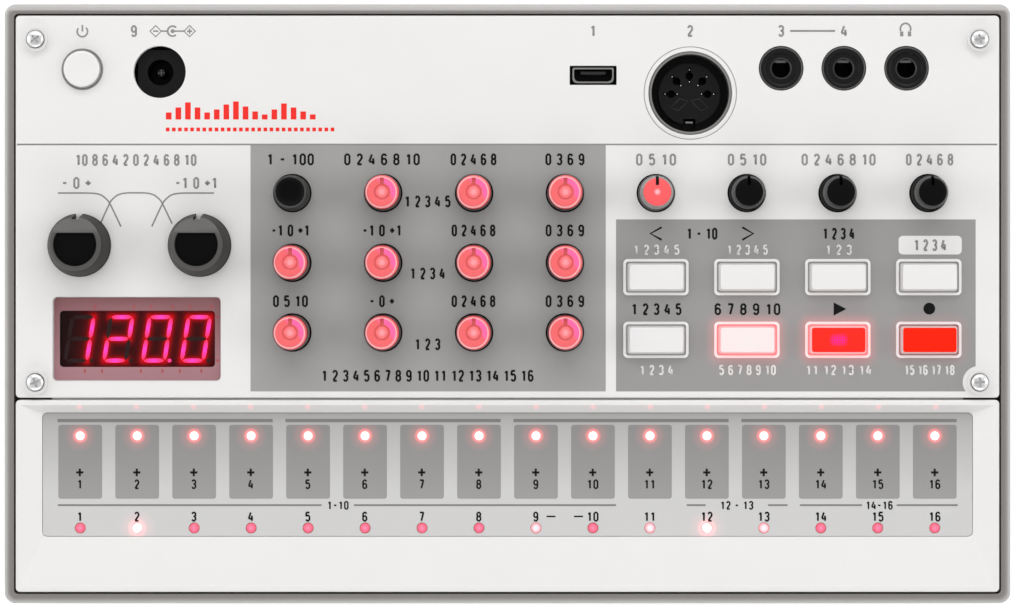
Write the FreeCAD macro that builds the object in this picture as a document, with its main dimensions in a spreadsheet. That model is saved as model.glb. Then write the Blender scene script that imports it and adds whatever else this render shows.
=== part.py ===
import FreeCAD, Part
import math
import os

import Sketcher

# Desktop sample sequencer: grey tub, white control panel and keyboard frame, touch keys,
# knobs, buttons, sockets, boards, speaker and battery bay, each piece a solid of its own.
# Millimetres. Origin on the table under the middle of the case, +X right, +Y to the rear, +Z up.

# Driving dimensions, written once here and read by every piece through the sheet
SIZES = {
    # Case
    "case_width": 193.0,
    "case_depth": 115.0,
    "panel_height": 35.5,
    "foot_stand": 2.0,
    "rim_drop": 0.8,
    "shell_wall": 1.9,
    "shell_floor": 2.2,
    "shell_draft": 1.5,
    "shell_corner": 2.2,
    "shell_inner_corner": 0.8,
    "rim_edge": 0.7,
    "bottom_edge": 1.2,
    "case_gap": 0.4,
    "seam_gap": 0.4,
    "case_corner": 0.8,
    "panel_edge": 0.45,
    "panel_thickness": 2.0,
    "skirt_wall": 1.2,
    "skirt_reach": 3.0,
    # Clearances
    "fit_gap": 0.1,
    "slide_gap": 0.3,
    "shaft_gap": 0.05,
    "thread_gap": 0.02,
    "spin_gap": 0.3,
    # Keyboard frame and touch keys
    "keyboard_depth": 36.8,
    "dish_depth": 2.4,
    "land_width": 1.0,
    "overlay_side_margin": 4.95,
    "overlay_rear_margin": 2.6,
    "overlay_front_margin": 10.6,
    "overlay_thickness": 1.2,
    "overlay_corner": 0.9,
    "key_side_inset": 7.2,
    "key_lamp_radius": 0.95,
    "key_lamp_rear_inset": 4.35,
    "key_lamp_front_inset": 1.55,
    "key_lamp_crown": 0.3,
    "touch_board_side": 1.8,
    "touch_board_rear": 1.3,
    "touch_board_front": 5.4,
    "board_thickness": 1.6,
    "seam_tongue_reach": 1.6,
    "seam_tongue_thickness": 1.1,
    # Case screws under the keyboard frame
    "frame_post_radius": 2.0,
    "frame_post_inset": 2.9,
    "frame_post_side_inset": 12.2,
    "frame_post_inner_spread": 30.0,
    "case_boss_radius": 3.9,
    "case_boss_height": 12.0,
    "case_boss_web": 2.5,
    "case_screw_radius": 1.2,
    "case_screw_head_radius": 2.4,
    "case_screw_head_height": 1.6,
    "case_screw_length": 9.0,
    # Panel screws and their collars
    "panel_boss_radius": 2.5,
    "panel_boss_gap": 0.25,
    "rear_screw_inset": 4.6,
    "front_screw_inset": 3.0,
    "collar_radius": 2.3,
    "collar_height": 1.3,
    "panel_screw_radius": 1.2,
    "panel_screw_head_radius": 1.78,
    "panel_screw_head_height": 0.95,
    "panel_screw_length": 12.0,
    "head_crown": 0.72,
    "recess_span": 1.1,
    "recess_width": 0.55,
    "recess_depth": 0.6,
    # Main board, hung from posts under the panel
    "board_head_gap": 0.3,
    "board_side_gap": 1.0,
    "board_rear_gap": 1.2,
    "board_front_gap": 3.0,
    "board_post_radius": 2.0,
    "board_post_inset": 3.0,
    "board_screw_radius": 0.75,
    "board_screw_head_radius": 1.5,
    "board_screw_head_height": 0.9,
    "board_screw_bite": 1.4,
    # Depth of the panel that the insets of rows, tall knobs and display were taken from
    "layout_depth": 73.2,
    # Knob grid
    "column_left_inset": 53.0,
    "column_right_inset": 13.6,
    "knob_row_rear_inset": 34.0,
    "knob_row_front_inset": 12.5,
    "knob_radius": 3.4,
    "knob_height": 8.6,
    "knob_top_radius": 2.65,
    "knob_bevel": 0.9,
    "knob_dome": 0.25,
    "knob_notch_width": 0.6,
    "knob_notch_depth": 1.0,
    "knob_notch_length": 3.0,
    "encoder_flare_height": 2.6,
    "encoder_waist_height": 4.7,
    "encoder_waist_radius": 2.5,
    "encoder_top_radius": 3.1,
    "encoder_dish": 0.5,
    "shaft_radius": 3.0,
    "pot_width": 9.5,
    "pot_depth": 10.5,
    "pot_head_gap": 2.2,
    "pot_collar_radius": 4.1,
    "pot_collar_height": 1.6,
    "pot_bore_floor": 2.6,
    "shaft_end_gap": 0.4,
    "lamp_radius": 1.2,
    "lamp_height": 1.8,
    "encoder_body_size": 11.8,
    # Isolator knobs
    "isolator_left_inset": 12.3,
    "isolator_spacing": 23.0,
    "isolator_rear_inset": 44.0,
    "isolator_radius": 6.05,
    "isolator_top_radius": 4.95,
    "isolator_height": 9.5,
    "isolator_skirt": 1.0,
    "isolator_dish_radius": 4.15,
    "isolator_dish_depth": 0.5,
    "isolator_facet_setback": 1.9,
    "isolator_facet_drop": 1.3,
    "isolator_groove_width": 0.9,
    "isolator_groove_depth": 1.0,
    "isolator_roof": 2.0,
    # Buttons
    "button_row_front_inset": 11.1,
    "button_row_pitch": 12.0,
    "lip_width": 12.5,
    "lip_depth": 6.95,
    "lip_wall": 0.5,
    "lip_height": 0.8,
    "lip_corner": 0.9,
    "cap_rise": 2.8,
    "cap_straight": 0.9,
    "cap_taper": 10.0,
    "cap_corner": 0.6,
    "cap_flange_reach": 0.6,
    "cap_flange_thickness": 1.0,
    "button_travel": 0.8,
    "stem_radius": 1.5,
    "switch_size": 6.0,
    "switch_height": 4.2,
    "stem_engagement": 2.2,
    # Power button
    "power_left_inset": 12.8,
    "power_rear_inset": 10.3,
    "power_radius": 3.45,
    "power_rise": 1.6,
    "power_edge": 0.3,
    "power_travel": 1.2,
    "power_switch_size": 7.2,
    # Sockets
    "dc_from_power": 14.8,
    "dc_rear_inset": 10.8,
    "dc_hole_radius": 5.0,
    "dc_body_size": 9.8,
    "dc_body_shift": 0.6,
    "dc_barrel_radius": 2.5,
    "dc_floor": 0.8,
    "dc_pin_radius": 0.85,
    "dc_pin_drop": 1.5,
    "usb_right_inset": 77.8,
    "usb_rear_inset": 11.45,
    "usb_width": 7.9,
    "usb_depth": 2.95,
    "usb_chamfer": 0.8,
    "usb_wall": 0.3,
    "usb_cavity": 5.0,
    "usb_tongue_width": 4.9,
    "usb_tongue_thickness": 0.7,
    "usb_hole_width": 9.0,
    "usb_hole_depth": 3.7,
    "usb_drop": 0.5,
    "midi_right_inset": 59.2,
    "midi_rear_inset": 14.85,
    "midi_ring_radius": 7.85,
    "midi_cavity_radius": 7.43,
    "midi_insert_radius": 5.97,
    "midi_insert_drop": 4.0,
    "midi_base_height": 3.0,
    "midi_pin_circle": 3.5,
    "midi_pin_radius": 0.75,
    "midi_pin_floor": 2.0,
    "midi_key_width": 2.4,
    "midi_countersink": 0.95,
    "jack_right_inset": 17.8,
    "jack_pitch": 12.0,
    "jack_rear_inset": 10.1,
    "jack_boss_radius": 4.2,
    "jack_step_radius": 3.0,
    "jack_step_depth": 0.7,
    "jack_bore_radius": 1.8,
    "jack_width": 9.4,
    "jack_depth": 11.0,
    "jack_hole_radius": 2.3,
    # Display
    "window_left_inset": 7.2,
    "window_front_inset": 3.3,
    "window_width": 32.0,
    "window_depth": 15.95,
    "window_corner": 0.8,
    "window_thickness": 1.2,
    "window_drop": 0.3,
    "window_ledge": 0.8,
    "module_gap": 0.4,
    "digit_height": 9.1,
    "digit_pitch": 7.45,
    "digit_width": 4.9,
    "digit_slant": 9.0,
    "segment_width": 0.95,
    "segment_gap": 0.25,
    "segment_thickness": 0.2,
    # Battery bay and door
    "bay_left_inset": 18.2,
    "bay_rear_inset": 20.7,
    "bay_length": 108.0,
    "bay_width": 45.0,
    "cell_room": 14.8,
    "bay_wall": 1.5,
    "door_thickness": 2.0,
    "door_gap": 0.3,
    "door_tab_width": 12.0,
    "door_tab_spread": 30.0,
    "door_tab_reach": 1.9,
    "door_tab_thickness": 1.0,
    "door_tab_root": 3.0,
    "door_slot_height": 2.3,
    "grip_width": 16.0,
    "grip_rib_depth": 0.5,
    "grip_rib_pitch": 1.6,
    "finger_recess_depth": 1.2,
    "finger_recess_reach": 5.0,
    "contact_thickness": 0.5,
    "contact_width": 10.0,
    "contact_height": 11.0,
    "contact_nub_radius": 2.4,
    "contact_nub_height": 1.4,
    "contact_tab_width": 3.0,
    # Speaker
    "speaker_radius": 18.0,
    "speaker_flange": 1.2,
    "speaker_basket_height": 8.0,
    "speaker_magnet_radius": 9.5,
    "speaker_magnet_height": 5.0,
    "speaker_sheet": 0.8,
    "speaker_ring_wall": 1.2,
    "speaker_ring_height": 2.4,
    "cone_rim_radius": 15.6,
    "cone_neck_radius": 4.5,
    "cone_thickness": 0.5,
    "grille_hole_radius": 1.1,
    "grille_ring_pitch": 4.2,
    "lead_radius": 0.5,
    "lead_bend": 2.0,
    "lead_run": 4.0,
    "lead_spread": 3.0,
    # Ribbon cable and feet
    "ribbon_width": 20.0,
    "ribbon_thickness": 0.4,
    "ribbon_centre_x": 55.0,
    "ribbon_drop": 3.5,
    "foot_radius": 5.0,
    "foot_seat_depth": 0.8,
    "foot_edge": 0.6,
    "foot_side_inset": 16.5,
    "foot_rear_inset": 13.5,
    "foot_front_inset": 16.5,
}

KEY_COUNT = 16
COLUMN_COUNT = 8
DIGIT_COUNT = 4
GRILLE_RINGS = 3

# Heights and edges that several pieces share, worked out from the driving dimensions
LEVELS = {
    "insert_x": "Size.case_width / 2 - Size.shell_wall - Size.case_gap",
    "insert_y": "Size.case_depth / 2 - Size.shell_wall - Size.case_gap",
    "rim_top": "Size.panel_height - Size.rim_drop",
    "floor_top": "Size.foot_stand + Size.shell_floor",
    "panel_under": "Size.panel_height - Size.panel_thickness",
    "skirt_end": "Size.panel_height - Size.panel_thickness - Size.skirt_reach",
    "frame_rear": "Size.keyboard_depth - Level.insert_y",
    "panel_front": "Level.frame_rear + Size.seam_gap",
    "overlay_top": "Size.panel_height - Size.dish_depth",
    "frame_under": "Level.overlay_top - Size.overlay_thickness",
    "overlay_rear": "Level.frame_rear - Size.overlay_rear_margin",
    "overlay_front": "Size.overlay_front_margin - Level.insert_y",
    "overlay_width": "2 * (Level.insert_x - Size.overlay_side_margin)",
    "overlay_depth": "Level.overlay_rear - Level.overlay_front",
    "touch_board_under": "Level.frame_under - Size.board_thickness",
    "bay_under": "Size.foot_stand + Size.door_thickness + Size.cell_room",
    "bay_top": "Level.bay_under + Size.bay_wall",
    "board_under": "Level.bay_top + Size.board_screw_head_height + Size.board_head_gap",
    "board_top": "Level.board_under + Size.board_thickness",
    "board_standoff": "Level.panel_under - Level.board_top",
    "screw_x": "Level.insert_x - Size.skirt_wall - Size.panel_boss_gap - Size.panel_boss_radius",
    "screw_rear_y": "Level.insert_y - Size.rear_screw_inset",
    "screw_front_y": "Level.panel_front + Size.front_screw_inset",
    "board_half": "Level.screw_x - Size.panel_boss_radius - Size.board_side_gap",
    "board_rear": "Level.insert_y - Size.skirt_wall - Size.board_rear_gap",
    "board_front": "Level.panel_front + Size.board_front_gap",
    "post_y": "Size.frame_post_inset - Level.insert_y",
    "frame_post_spread": "Level.insert_x - Size.frame_post_side_inset",
    "case_boss_top": "Size.foot_stand + Size.case_boss_height",
    "column_first": "Size.column_left_inset - Level.insert_x",
    "column_last": "Level.insert_x - Size.column_right_inset",
    "spread": "(Level.insert_y - Level.panel_front) / Size.layout_depth",
    "row_rear": "Level.insert_y - Size.knob_row_rear_inset * Level.spread",
    "row_front": "Level.panel_front + Size.knob_row_front_inset * Level.spread",
    "button_front": "Level.panel_front + Size.button_row_front_inset * Level.spread",
    "button_rear": "Level.button_front + Size.button_row_pitch * Level.spread",
    "isolator_x": "Size.isolator_left_inset - Level.insert_x",
    "isolator_y": "Level.insert_y - Size.isolator_rear_inset * Level.spread",
    "power_x": "Size.power_left_inset - Level.insert_x",
    "power_y": "Level.insert_y - Size.power_rear_inset",
    "dc_x": "Level.power_x + Size.dc_from_power",
    "dc_y": "Level.insert_y - Size.dc_rear_inset",
    "usb_x": "Level.insert_x - Size.usb_right_inset",
    "usb_y": "Level.insert_y - Size.usb_rear_inset",
    "midi_x": "Level.insert_x - Size.midi_right_inset",
    "midi_y": "Level.insert_y - Size.midi_rear_inset",
    "midi_insert_height": "Size.panel_height - Size.midi_insert_drop - Level.board_top",
    "jack_x": "Level.insert_x - Size.jack_right_inset",
    "jack_y": "Level.insert_y - Size.jack_rear_inset",
    "window_x": "Size.window_left_inset + Size.window_width / 2 - Level.insert_x",
    "window_y": "Level.panel_front + Size.window_front_inset * Level.spread + Size.window_depth / 2",
    "window_under": "Size.panel_height - Size.window_drop - Size.window_thickness",
    "module_top": "Level.panel_under - Size.module_gap",
    "bay_rear": "Level.insert_y - Size.bay_rear_inset",
    "bay_front": "Level.bay_rear - Size.bay_width",
    "bay_left": "Size.bay_left_inset - Level.insert_x",
    "bay_right": "Level.bay_left + Size.bay_length",
    "bay_x": "(Level.bay_left + Level.bay_right) / 2",
    "bay_y": "(Level.bay_rear + Level.bay_front) / 2",
    "speaker_x": "(Level.bay_right + Size.bay_wall + Level.insert_x) / 2",
    "knob_shaft_end": "Level.board_top + Size.pot_bore_floor + Size.shaft_end_gap",
    "pot_height": "Level.board_standoff - Size.pot_collar_height - Size.pot_head_gap",
    "cap_half_width": "Size.lip_width / 2 - Size.lip_wall - Size.slide_gap",
    "cap_half_depth": "Size.lip_depth / 2 - Size.lip_wall - Size.slide_gap",
    "switch_top": "Level.board_top + Size.switch_height",
    "flange_top": "Level.panel_under - Size.fit_gap",
}

DOC = FreeCAD.newDocument("Sampler")
SHEET = DOC.addObject("Spreadsheet::Sheet", "Size")
LEVEL = DOC.addObject("App::VarSet", "Level")
NODES = []


def fill_sheet():
    """Write the driving dimensions to the sheet and the shared levels to the variable set."""
    for line, (name, size) in enumerate(SIZES.items(), start=1):
        SHEET.set(f"A{line}", name)
        SHEET.set(f"B{line}", str(size))
        SHEET.setAlias(f"B{line}", name)
    DOC.recompute()
    for name, expression in LEVELS.items():
        LEVEL.addProperty("App::PropertyFloat", name)
        LEVEL.setExpression(name, expression)
        DOC.recompute()


def number(expression):
    """Value of an expression at the present sizes."""
    return float(SHEET.evalExpression(str(expression)))


def column(index):
    """X of one of the eight control columns, 0 the leftmost."""
    return f"(Level.column_first + {index} * (Level.column_last - Level.column_first) / {COLUMN_COUNT - 1})"


def knob_row(index):
    """Y of one of the three knob rows, 0 the rearmost."""
    return f"(Level.row_rear - {index} * (Level.row_rear - Level.row_front) / 2)"


def key_x(index):
    """X of one of the touch keys, 0 the leftmost."""
    share = index / (KEY_COUNT - 1) - 0.5
    return f"({share} * (Level.overlay_width - 2 * Size.key_side_inset))"


def keep(piece, label):
    """Label a finished piece as a sub-part and list it for writing."""
    piece.Label = label
    NODES.append(piece)
    return piece


# Bodies, sketches and their features

def new_body(label):
    """Part design body of one sub-part."""
    body = DOC.addObject("PartDesign::Body", label)
    return keep(body, label)


def new_sketch(body, name, height="0", role="XY_Plane"):
    """Sketch on one of the body's own planes, lifted by an expression."""
    sketch = body.newObject("Sketcher::SketchObject", name)
    plane = next(item for item in body.Origin.OriginFeatures if item.Role == role)
    sketch.AttachmentSupport = [(plane, "")]
    sketch.MapMode = "FlatFace"
    sketch.setExpression("AttachmentOffset.Base.z", str(height))
    return sketch


def pin_point(sketch, geometry, point, x, y):
    """Hold one point of a sketch at two expressions measured from the origin."""
    for kind, expression, axis in (("DistanceX", x, -2), ("DistanceY", y, -1)):
        if expression == "0":
            sketch.addConstraint(Sketcher.Constraint("PointOnObject", geometry, point, axis))
        else:
            rule = Sketcher.Constraint(kind, -1, 1, geometry, point, number(expression))
            index = sketch.addConstraint(rule)
            sketch.setExpression(f"Constraints[{index}]", expression)


def draw_circle(sketch, x, y, radius):
    """Circle held by its centre and radius."""
    centre = FreeCAD.Vector(number(x), number(y), 0)
    circle = Part.Circle(centre, FreeCAD.Vector(0, 0, 1), number(radius))
    geometry = sketch.addGeometry(circle, False)
    pin_point(sketch, geometry, 3, x, y)
    index = sketch.addConstraint(Sketcher.Constraint("Radius", geometry, number(radius)))
    sketch.setExpression(f"Constraints[{index}]", radius)


def draw_polygon(sketch, points):
    """Closed outline through points given as pairs of expressions."""
    places = [FreeCAD.Vector(number(x), number(y), 0) for x, y in points]
    lines = []
    for start, end in zip(places, places[1:] + places[:1]):
        lines.append(sketch.addGeometry(Part.LineSegment(start, end), False))
    for this, following in zip(lines, lines[1:] + lines[:1]):
        sketch.addConstraint(Sketcher.Constraint("Coincident", this, 2, following, 1))
    for line, (x, y) in zip(lines, points):
        pin_point(sketch, line, 1, x, y)


def draw_block(sketch, x, y, width, depth):
    """Rectangle about a centre."""
    left, right = f"{x} - ({width}) / 2", f"{x} + ({width}) / 2"
    front, rear = f"{y} - ({depth}) / 2", f"{y} + ({depth}) / 2"
    draw_polygon(sketch, [(left, front), (right, front), (right, rear), (left, rear)])


def draw_rounded(sketch, x, y, width, depth, radius):
    """Rectangle about a centre with quarter circle corners."""
    centres, arcs = [], []
    for side_x, side_y, turn in ((1, 1, 0), (-1, 1, 90), (-1, -1, 180), (1, -1, 270)):
        centre_x = f"{x} + {side_x} * (({width}) / 2 - {radius})"
        centre_y = f"{y} + {side_y} * (({depth}) / 2 - {radius})"
        centres.append((centre_x, centre_y))
        centre = FreeCAD.Vector(number(centre_x), number(centre_y), 0)
        circle = Part.Circle(centre, FreeCAD.Vector(0, 0, 1), number(radius))
        arcs.append(Part.ArcOfCircle(circle, math.radians(turn), math.radians(turn + 90)))
    lines = []
    for this, following in zip(arcs, arcs[1:] + arcs[:1]):
        lines.append(Part.LineSegment(this.EndPoint, following.StartPoint))
    numbers = sketch.addGeometry(arcs + lines, False)
    arcs, lines = numbers[:4], numbers[4:]
    rules, driven = [], []
    for corner, (arc, line, centre) in enumerate(zip(arcs, lines, centres)):
        for kind, expression in zip(("DistanceX", "DistanceY"), centre):
            driven.append((len(rules), expression))
            rules.append(Sketcher.Constraint(kind, -1, 1, arc, 3, number(expression)))
        driven.append((len(rules), radius))
        rules.append(Sketcher.Constraint("Radius", arc, number(radius)))
        level, upright = (1, 2) if corner % 2 == 0 else (2, 1)
        rules.append(Sketcher.Constraint("Horizontal", arc, 3, arc, level))
        rules.append(Sketcher.Constraint("Vertical", arc, 3, arc, upright))
        rules.append(Sketcher.Constraint("Coincident", arc, 2, line, 1))
        rules.append(Sketcher.Constraint("Coincident", line, 2, arcs[(corner + 1) % 4], 1))
    first = sketch.ConstraintCount
    sketch.addConstraint(rules)
    for place, expression in driven:
        sketch.setExpression(f"Constraints[{first + place}]", expression)


def extrude(kind, body, sketch, length, down, taper):
    """Pad or pocket of a sketch, up or down by an expression, with an optional draft."""
    feature = body.newObject(kind, sketch.Name + "_" + kind.split("::")[1].lower())
    feature.Profile = sketch
    feature.Reversed = down if kind == "PartDesign::Pad" else not down
    feature.setExpression("Length", length)
    if taper:
        feature.setExpression("TaperAngle", taper)
    sketch.Visibility = False
    return feature


def pad(body, sketch, length, down=False, taper=None):
    """Add the sketch's area over a length."""
    return extrude("PartDesign::Pad", body, sketch, length, down, taper)


def pocket(body, sketch, length, down=True, taper=None):
    """Cut the sketch's area over a length, downwards unless told otherwise."""
    return extrude("PartDesign::Pocket", body, sketch, length, down, taper)


def revolve(body, sketch):
    """Turn a profile once round the body's vertical axis."""
    feature = body.newObject("PartDesign::Revolution", sketch.Name + "_turned")
    feature.Profile = sketch
    feature.ReferenceAxis = (sketch, ["V_Axis"])
    feature.Angle = 360
    return feature


def level_edges(shape, height):
    """Names of the edges that lie at one height."""
    names = []
    for index, edge in enumerate(shape.Edges, start=1):
        box = edge.BoundBox
        if abs(box.ZMin - height) < 1e-4 and abs(box.ZMax - height) < 1e-4:
            names.append(f"Edge{index}")
    return names


def round_edges(body, base, names, radius):
    """Fillet named edges of the feature before it."""
    fillet = body.newObject("PartDesign::Fillet", base.Name + "_rounded")
    fillet.Base = (base, names)
    fillet.setExpression("Radius", radius)
    return fillet


# Primitives and booleans

def put(piece, x, y, z):
    """Bind a primitive's place to expressions."""
    piece.setExpression("Placement.Base.x", str(x))
    piece.setExpression("Placement.Base.y", str(y))
    piece.setExpression("Placement.Base.z", str(z))
    return piece


def block(name, x, y, z, width, depth, height):
    """Box about a centre in plan, standing on z."""
    piece = DOC.addObject("Part::Box", name)
    piece.setExpression("Length", width)
    piece.setExpression("Width", depth)
    piece.setExpression("Height", height)
    return put(piece, f"{x} - ({width}) / 2", f"{y} - ({depth}) / 2", z)


def rod(name, x, y, z, radius, height):
    """Upright cylinder standing on z."""
    piece = DOC.addObject("Part::Cylinder", name)
    piece.setExpression("Radius", radius)
    piece.setExpression("Height", height)
    return put(piece, x, y, z)


def taper_rod(name, x, y, z, low_radius, high_radius, height):
    """Upright cone standing on z."""
    piece = DOC.addObject("Part::Cone", name)
    piece.setExpression("Radius1", low_radius)
    piece.setExpression("Radius2", high_radius)
    piece.setExpression("Height", height)
    return put(piece, x, y, z)


def join(name, *pieces):
    """Fuse several pieces."""
    fused = DOC.addObject("Part::MultiFuse", name)
    fused.Shapes = list(pieces)
    return fused


def cut(name, base, *tools):
    """Cut one or more tools from a base."""
    piece = DOC.addObject("Part::Cut", name)
    piece.Base = base
    piece.Tool = tools[0] if len(tools) == 1 else join(name + "_tools", *tools)
    return piece


def group(label, pieces):
    """Several separate solids of one kind that share a node."""
    compound = DOC.addObject("Part::Compound", label)
    compound.Links = list(pieces)
    return keep(compound, label)


# Places that repeat

def panel_screw_places():
    """The four screws in the corners of the control panel."""
    for side in (-1, 1):
        for y in ("Level.screw_rear_y", "Level.screw_front_y"):
            yield f"({side} * Level.screw_x)", y


def case_screw_places():
    """The four screws under the front of the keyboard frame."""
    for spread in ("Level.frame_post_spread", "Size.frame_post_inner_spread"):
        for side in (-1, 1):
            yield f"({side} * {spread})", "Level.post_y"


def board_post_places():
    """The six posts under the panel that carry the main board."""
    edge = "Level.board_half - Size.board_post_inset"
    between_rows = "(Level.row_rear + Level.jack_y) / 2"
    pot_edge = f"({column(3)} + Size.pot_width / 2)"
    cap_edge = f"({column(4)} - Level.cap_half_width - Size.cap_flange_reach)"
    isolator_edge = "(Level.isolator_x + Size.isolator_spacing + Size.pot_width / 2)"
    return [
        (f"-({edge})", "(Level.isolator_y + Level.power_y) / 2"),
        (f"({column(1)} + {column(2)}) / 2", between_rows),
        (edge, between_rows),
        (f"({isolator_edge} + {column(0)} - Size.pot_width / 2) / 2", "Level.isolator_y"),
        (f"({pot_edge} + {cap_edge}) / 2", "Level.row_front"),
        (f"({column(5)} + {column(6)}) / 2", "(Level.button_front + Level.button_rear) / 2"),
    ]


def touch_screw_places():
    """The four screws that hold the touch board to the frame."""
    y = "(Level.overlay_front - Size.touch_board_front / 2)"
    for spread in ("Level.frame_post_spread", "Size.frame_post_inner_spread"):
        for side in (-1, 1):
            yield f"({side} * {spread})", y


def knob_places():
    """Small knobs by name: the parameter grid first, then the four at the upper right."""
    grid = [
        ["sample_select_knob", "start_point_knob", "length_knob", "high_cut_knob"],
        ["speed_knob", "pitch_depth_knob", "pitch_attack_knob", "pitch_decay_knob"],
        ["level_knob", "pan_knob", "level_attack_knob", "level_decay_knob"],
    ]
    for row, names in enumerate(grid):
        for place, name in enumerate(names):
            yield name, column(place), knob_row(row)
    for place, name in enumerate(["tempo_knob", "swing_knob", "reverb_knob", "volume_knob"], start=4):
        yield name, column(place), knob_row(0)


def button_rows():
    """The two rows of push buttons, each a name, its Y and the names of its buttons."""
    rear = ["reverse_button", "reverb_button", "mute_button", "function_button"]
    front = ["memory_button", "step_mode_button", "play_button", "record_button"]
    return [("rear", "Level.button_rear", rear), ("front", "Level.button_front", front)]


def button_places():
    """The eight push buttons by name."""
    for _row, y, names in button_rows():
        for place, name in enumerate(names, start=4):
            yield name, column(place), y


def jack_places():
    """The three small jacks, the headphone one at the right."""
    for index in range(3):
        yield f"(Level.jack_x - {index} * Size.jack_pitch)", "Level.jack_y"


def isolator_places():
    """The two large knobs, bass then treble."""
    return [
        ("bass", "Level.isolator_x", "Level.isolator_y"),
        ("treble", "(Level.isolator_x + Size.isolator_spacing)", "Level.isolator_y"),
    ]


def foot_places():
    """The four rubber feet."""
    for side in (-1, 1):
        x = f"({side} * (Size.case_width / 2 - Size.foot_side_inset))"
        yield x, "(Size.case_depth / 2 - Size.foot_rear_inset)"
        yield x, "(Size.foot_front_inset - Size.case_depth / 2)"


def door_tab_places():
    """X of the two hinge tabs of the battery door."""
    for side in (-1, 1):
        yield f"(Level.bay_x + {side} * Size.door_tab_spread)"


# Case

def make_lower_shell():
    """Grey tub with drafted walls, battery bay, screw bosses, grille and seats for the feet."""
    body = new_body("lower_shell")
    outline = new_sketch(body, "shell_outline", "Level.rim_top")
    draw_rounded(outline, "0", "0", "Size.case_width", "Size.case_depth", "Size.shell_corner")
    hull = pad(body, outline, "Level.rim_top - Size.foot_stand", down=True, taper="-Size.shell_draft")
    DOC.recompute()
    top = round_edges(body, hull, level_edges(hull.Shape, number("Level.rim_top")), "Size.rim_edge")
    DOC.recompute()
    low = level_edges(top.Shape, number("Size.foot_stand"))
    round_edges(body, top, low, "Size.bottom_edge")
    cavity = new_sketch(body, "shell_cavity", "Level.rim_top")
    inner_width = "Size.case_width - 2 * Size.shell_wall"
    inner_depth = "Size.case_depth - 2 * Size.shell_wall"
    draw_rounded(cavity, "0", "0", inner_width, inner_depth, "Size.shell_inner_corner")
    pocket(body, cavity, "Level.rim_top - Level.floor_top", taper="-Size.shell_draft")
    add_shell_bay(body)
    add_shell_bosses(body)
    add_shell_speaker_seat(body)
    feet = new_sketch(body, "foot_seats", "Size.foot_stand")
    for x, y in foot_places():
        draw_circle(feet, x, y, "Size.foot_radius + Size.fit_gap")
    pocket(body, feet, "Size.foot_seat_depth", down=False)


def add_shell_bay(body):
    """Battery bay: a box on the floor, open below, with slots for the door's tabs."""
    roof = new_sketch(body, "bay_walls", "Level.floor_top")
    outer_length = "Size.bay_length + 2 * Size.bay_wall"
    outer_width = "Size.bay_width + 2 * Size.bay_wall"
    draw_block(roof, "Level.bay_x", "Level.bay_y", outer_length, outer_width)
    pad(body, roof, "Level.bay_top - Level.floor_top")
    bay = new_sketch(body, "bay_room", "Size.foot_stand")
    draw_block(bay, "Level.bay_x", "Level.bay_y", "Size.bay_length", "Size.bay_width")
    pocket(body, bay, "Level.bay_under - Size.foot_stand", down=False)
    slots = new_sketch(body, "door_slots", "Level.floor_top")
    reach = "(Size.bay_wall + 2 * Size.fit_gap)"
    for x in door_tab_places():
        width = "Size.door_tab_width + 2 * Size.door_gap"
        draw_block(slots, x, f"Level.bay_rear + {reach} / 2 - Size.fit_gap", width, reach)
    pocket(body, slots, "Size.door_slot_height", down=False)
    tabs = new_sketch(body, "contact_slots", "Level.bay_under")
    for x, y in contact_tab_places():
        slot_length = "Size.contact_thickness + 2 * Size.fit_gap"
        draw_block(tabs, x, y, slot_length, "Size.contact_tab_width + 2 * Size.fit_gap")
    pocket(body, tabs, "Size.bay_wall", down=False)
    recess = new_sketch(body, "finger_recess", "Size.foot_stand")
    middle = "Level.bay_front - Size.finger_recess_reach / 2"
    draw_block(recess, "Level.bay_x", middle, "Size.grip_width", "Size.finger_recess_reach")
    pocket(body, recess, "Size.finger_recess_depth", down=False)


def add_shell_bosses(body):
    """Tall bosses for the panel screws, and counterbored ones for the case screws."""
    tall = new_sketch(body, "panel_bosses", "Level.floor_top")
    for x, y in panel_screw_places():
        draw_circle(tall, x, y, "Size.panel_boss_radius")
    pad(body, tall, "Level.panel_under - Level.floor_top")
    pilot = new_sketch(body, "panel_boss_holes", "Level.panel_under")
    for x, y in panel_screw_places():
        draw_circle(pilot, x, y, "Size.panel_screw_radius + Size.thread_gap")
    pocket(body, pilot, "Size.panel_screw_length")
    short = new_sketch(body, "case_bosses", "Level.floor_top")
    for x, y in case_screw_places():
        draw_circle(short, x, y, "Size.case_boss_radius")
    pad(body, short, "Level.case_boss_top - Level.floor_top")
    wells = new_sketch(body, "case_screw_wells", "Size.foot_stand")
    holes = new_sketch(body, "case_screw_holes", "Size.foot_stand")
    for x, y in case_screw_places():
        draw_circle(wells, x, y, "Size.case_screw_head_radius + Size.spin_gap")
        draw_circle(holes, x, y, "Size.case_screw_radius + Size.spin_gap")
    pocket(body, wells, "Size.case_boss_height - Size.case_boss_web", down=False)
    pocket(body, holes, "Size.case_boss_height", down=False)


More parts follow.
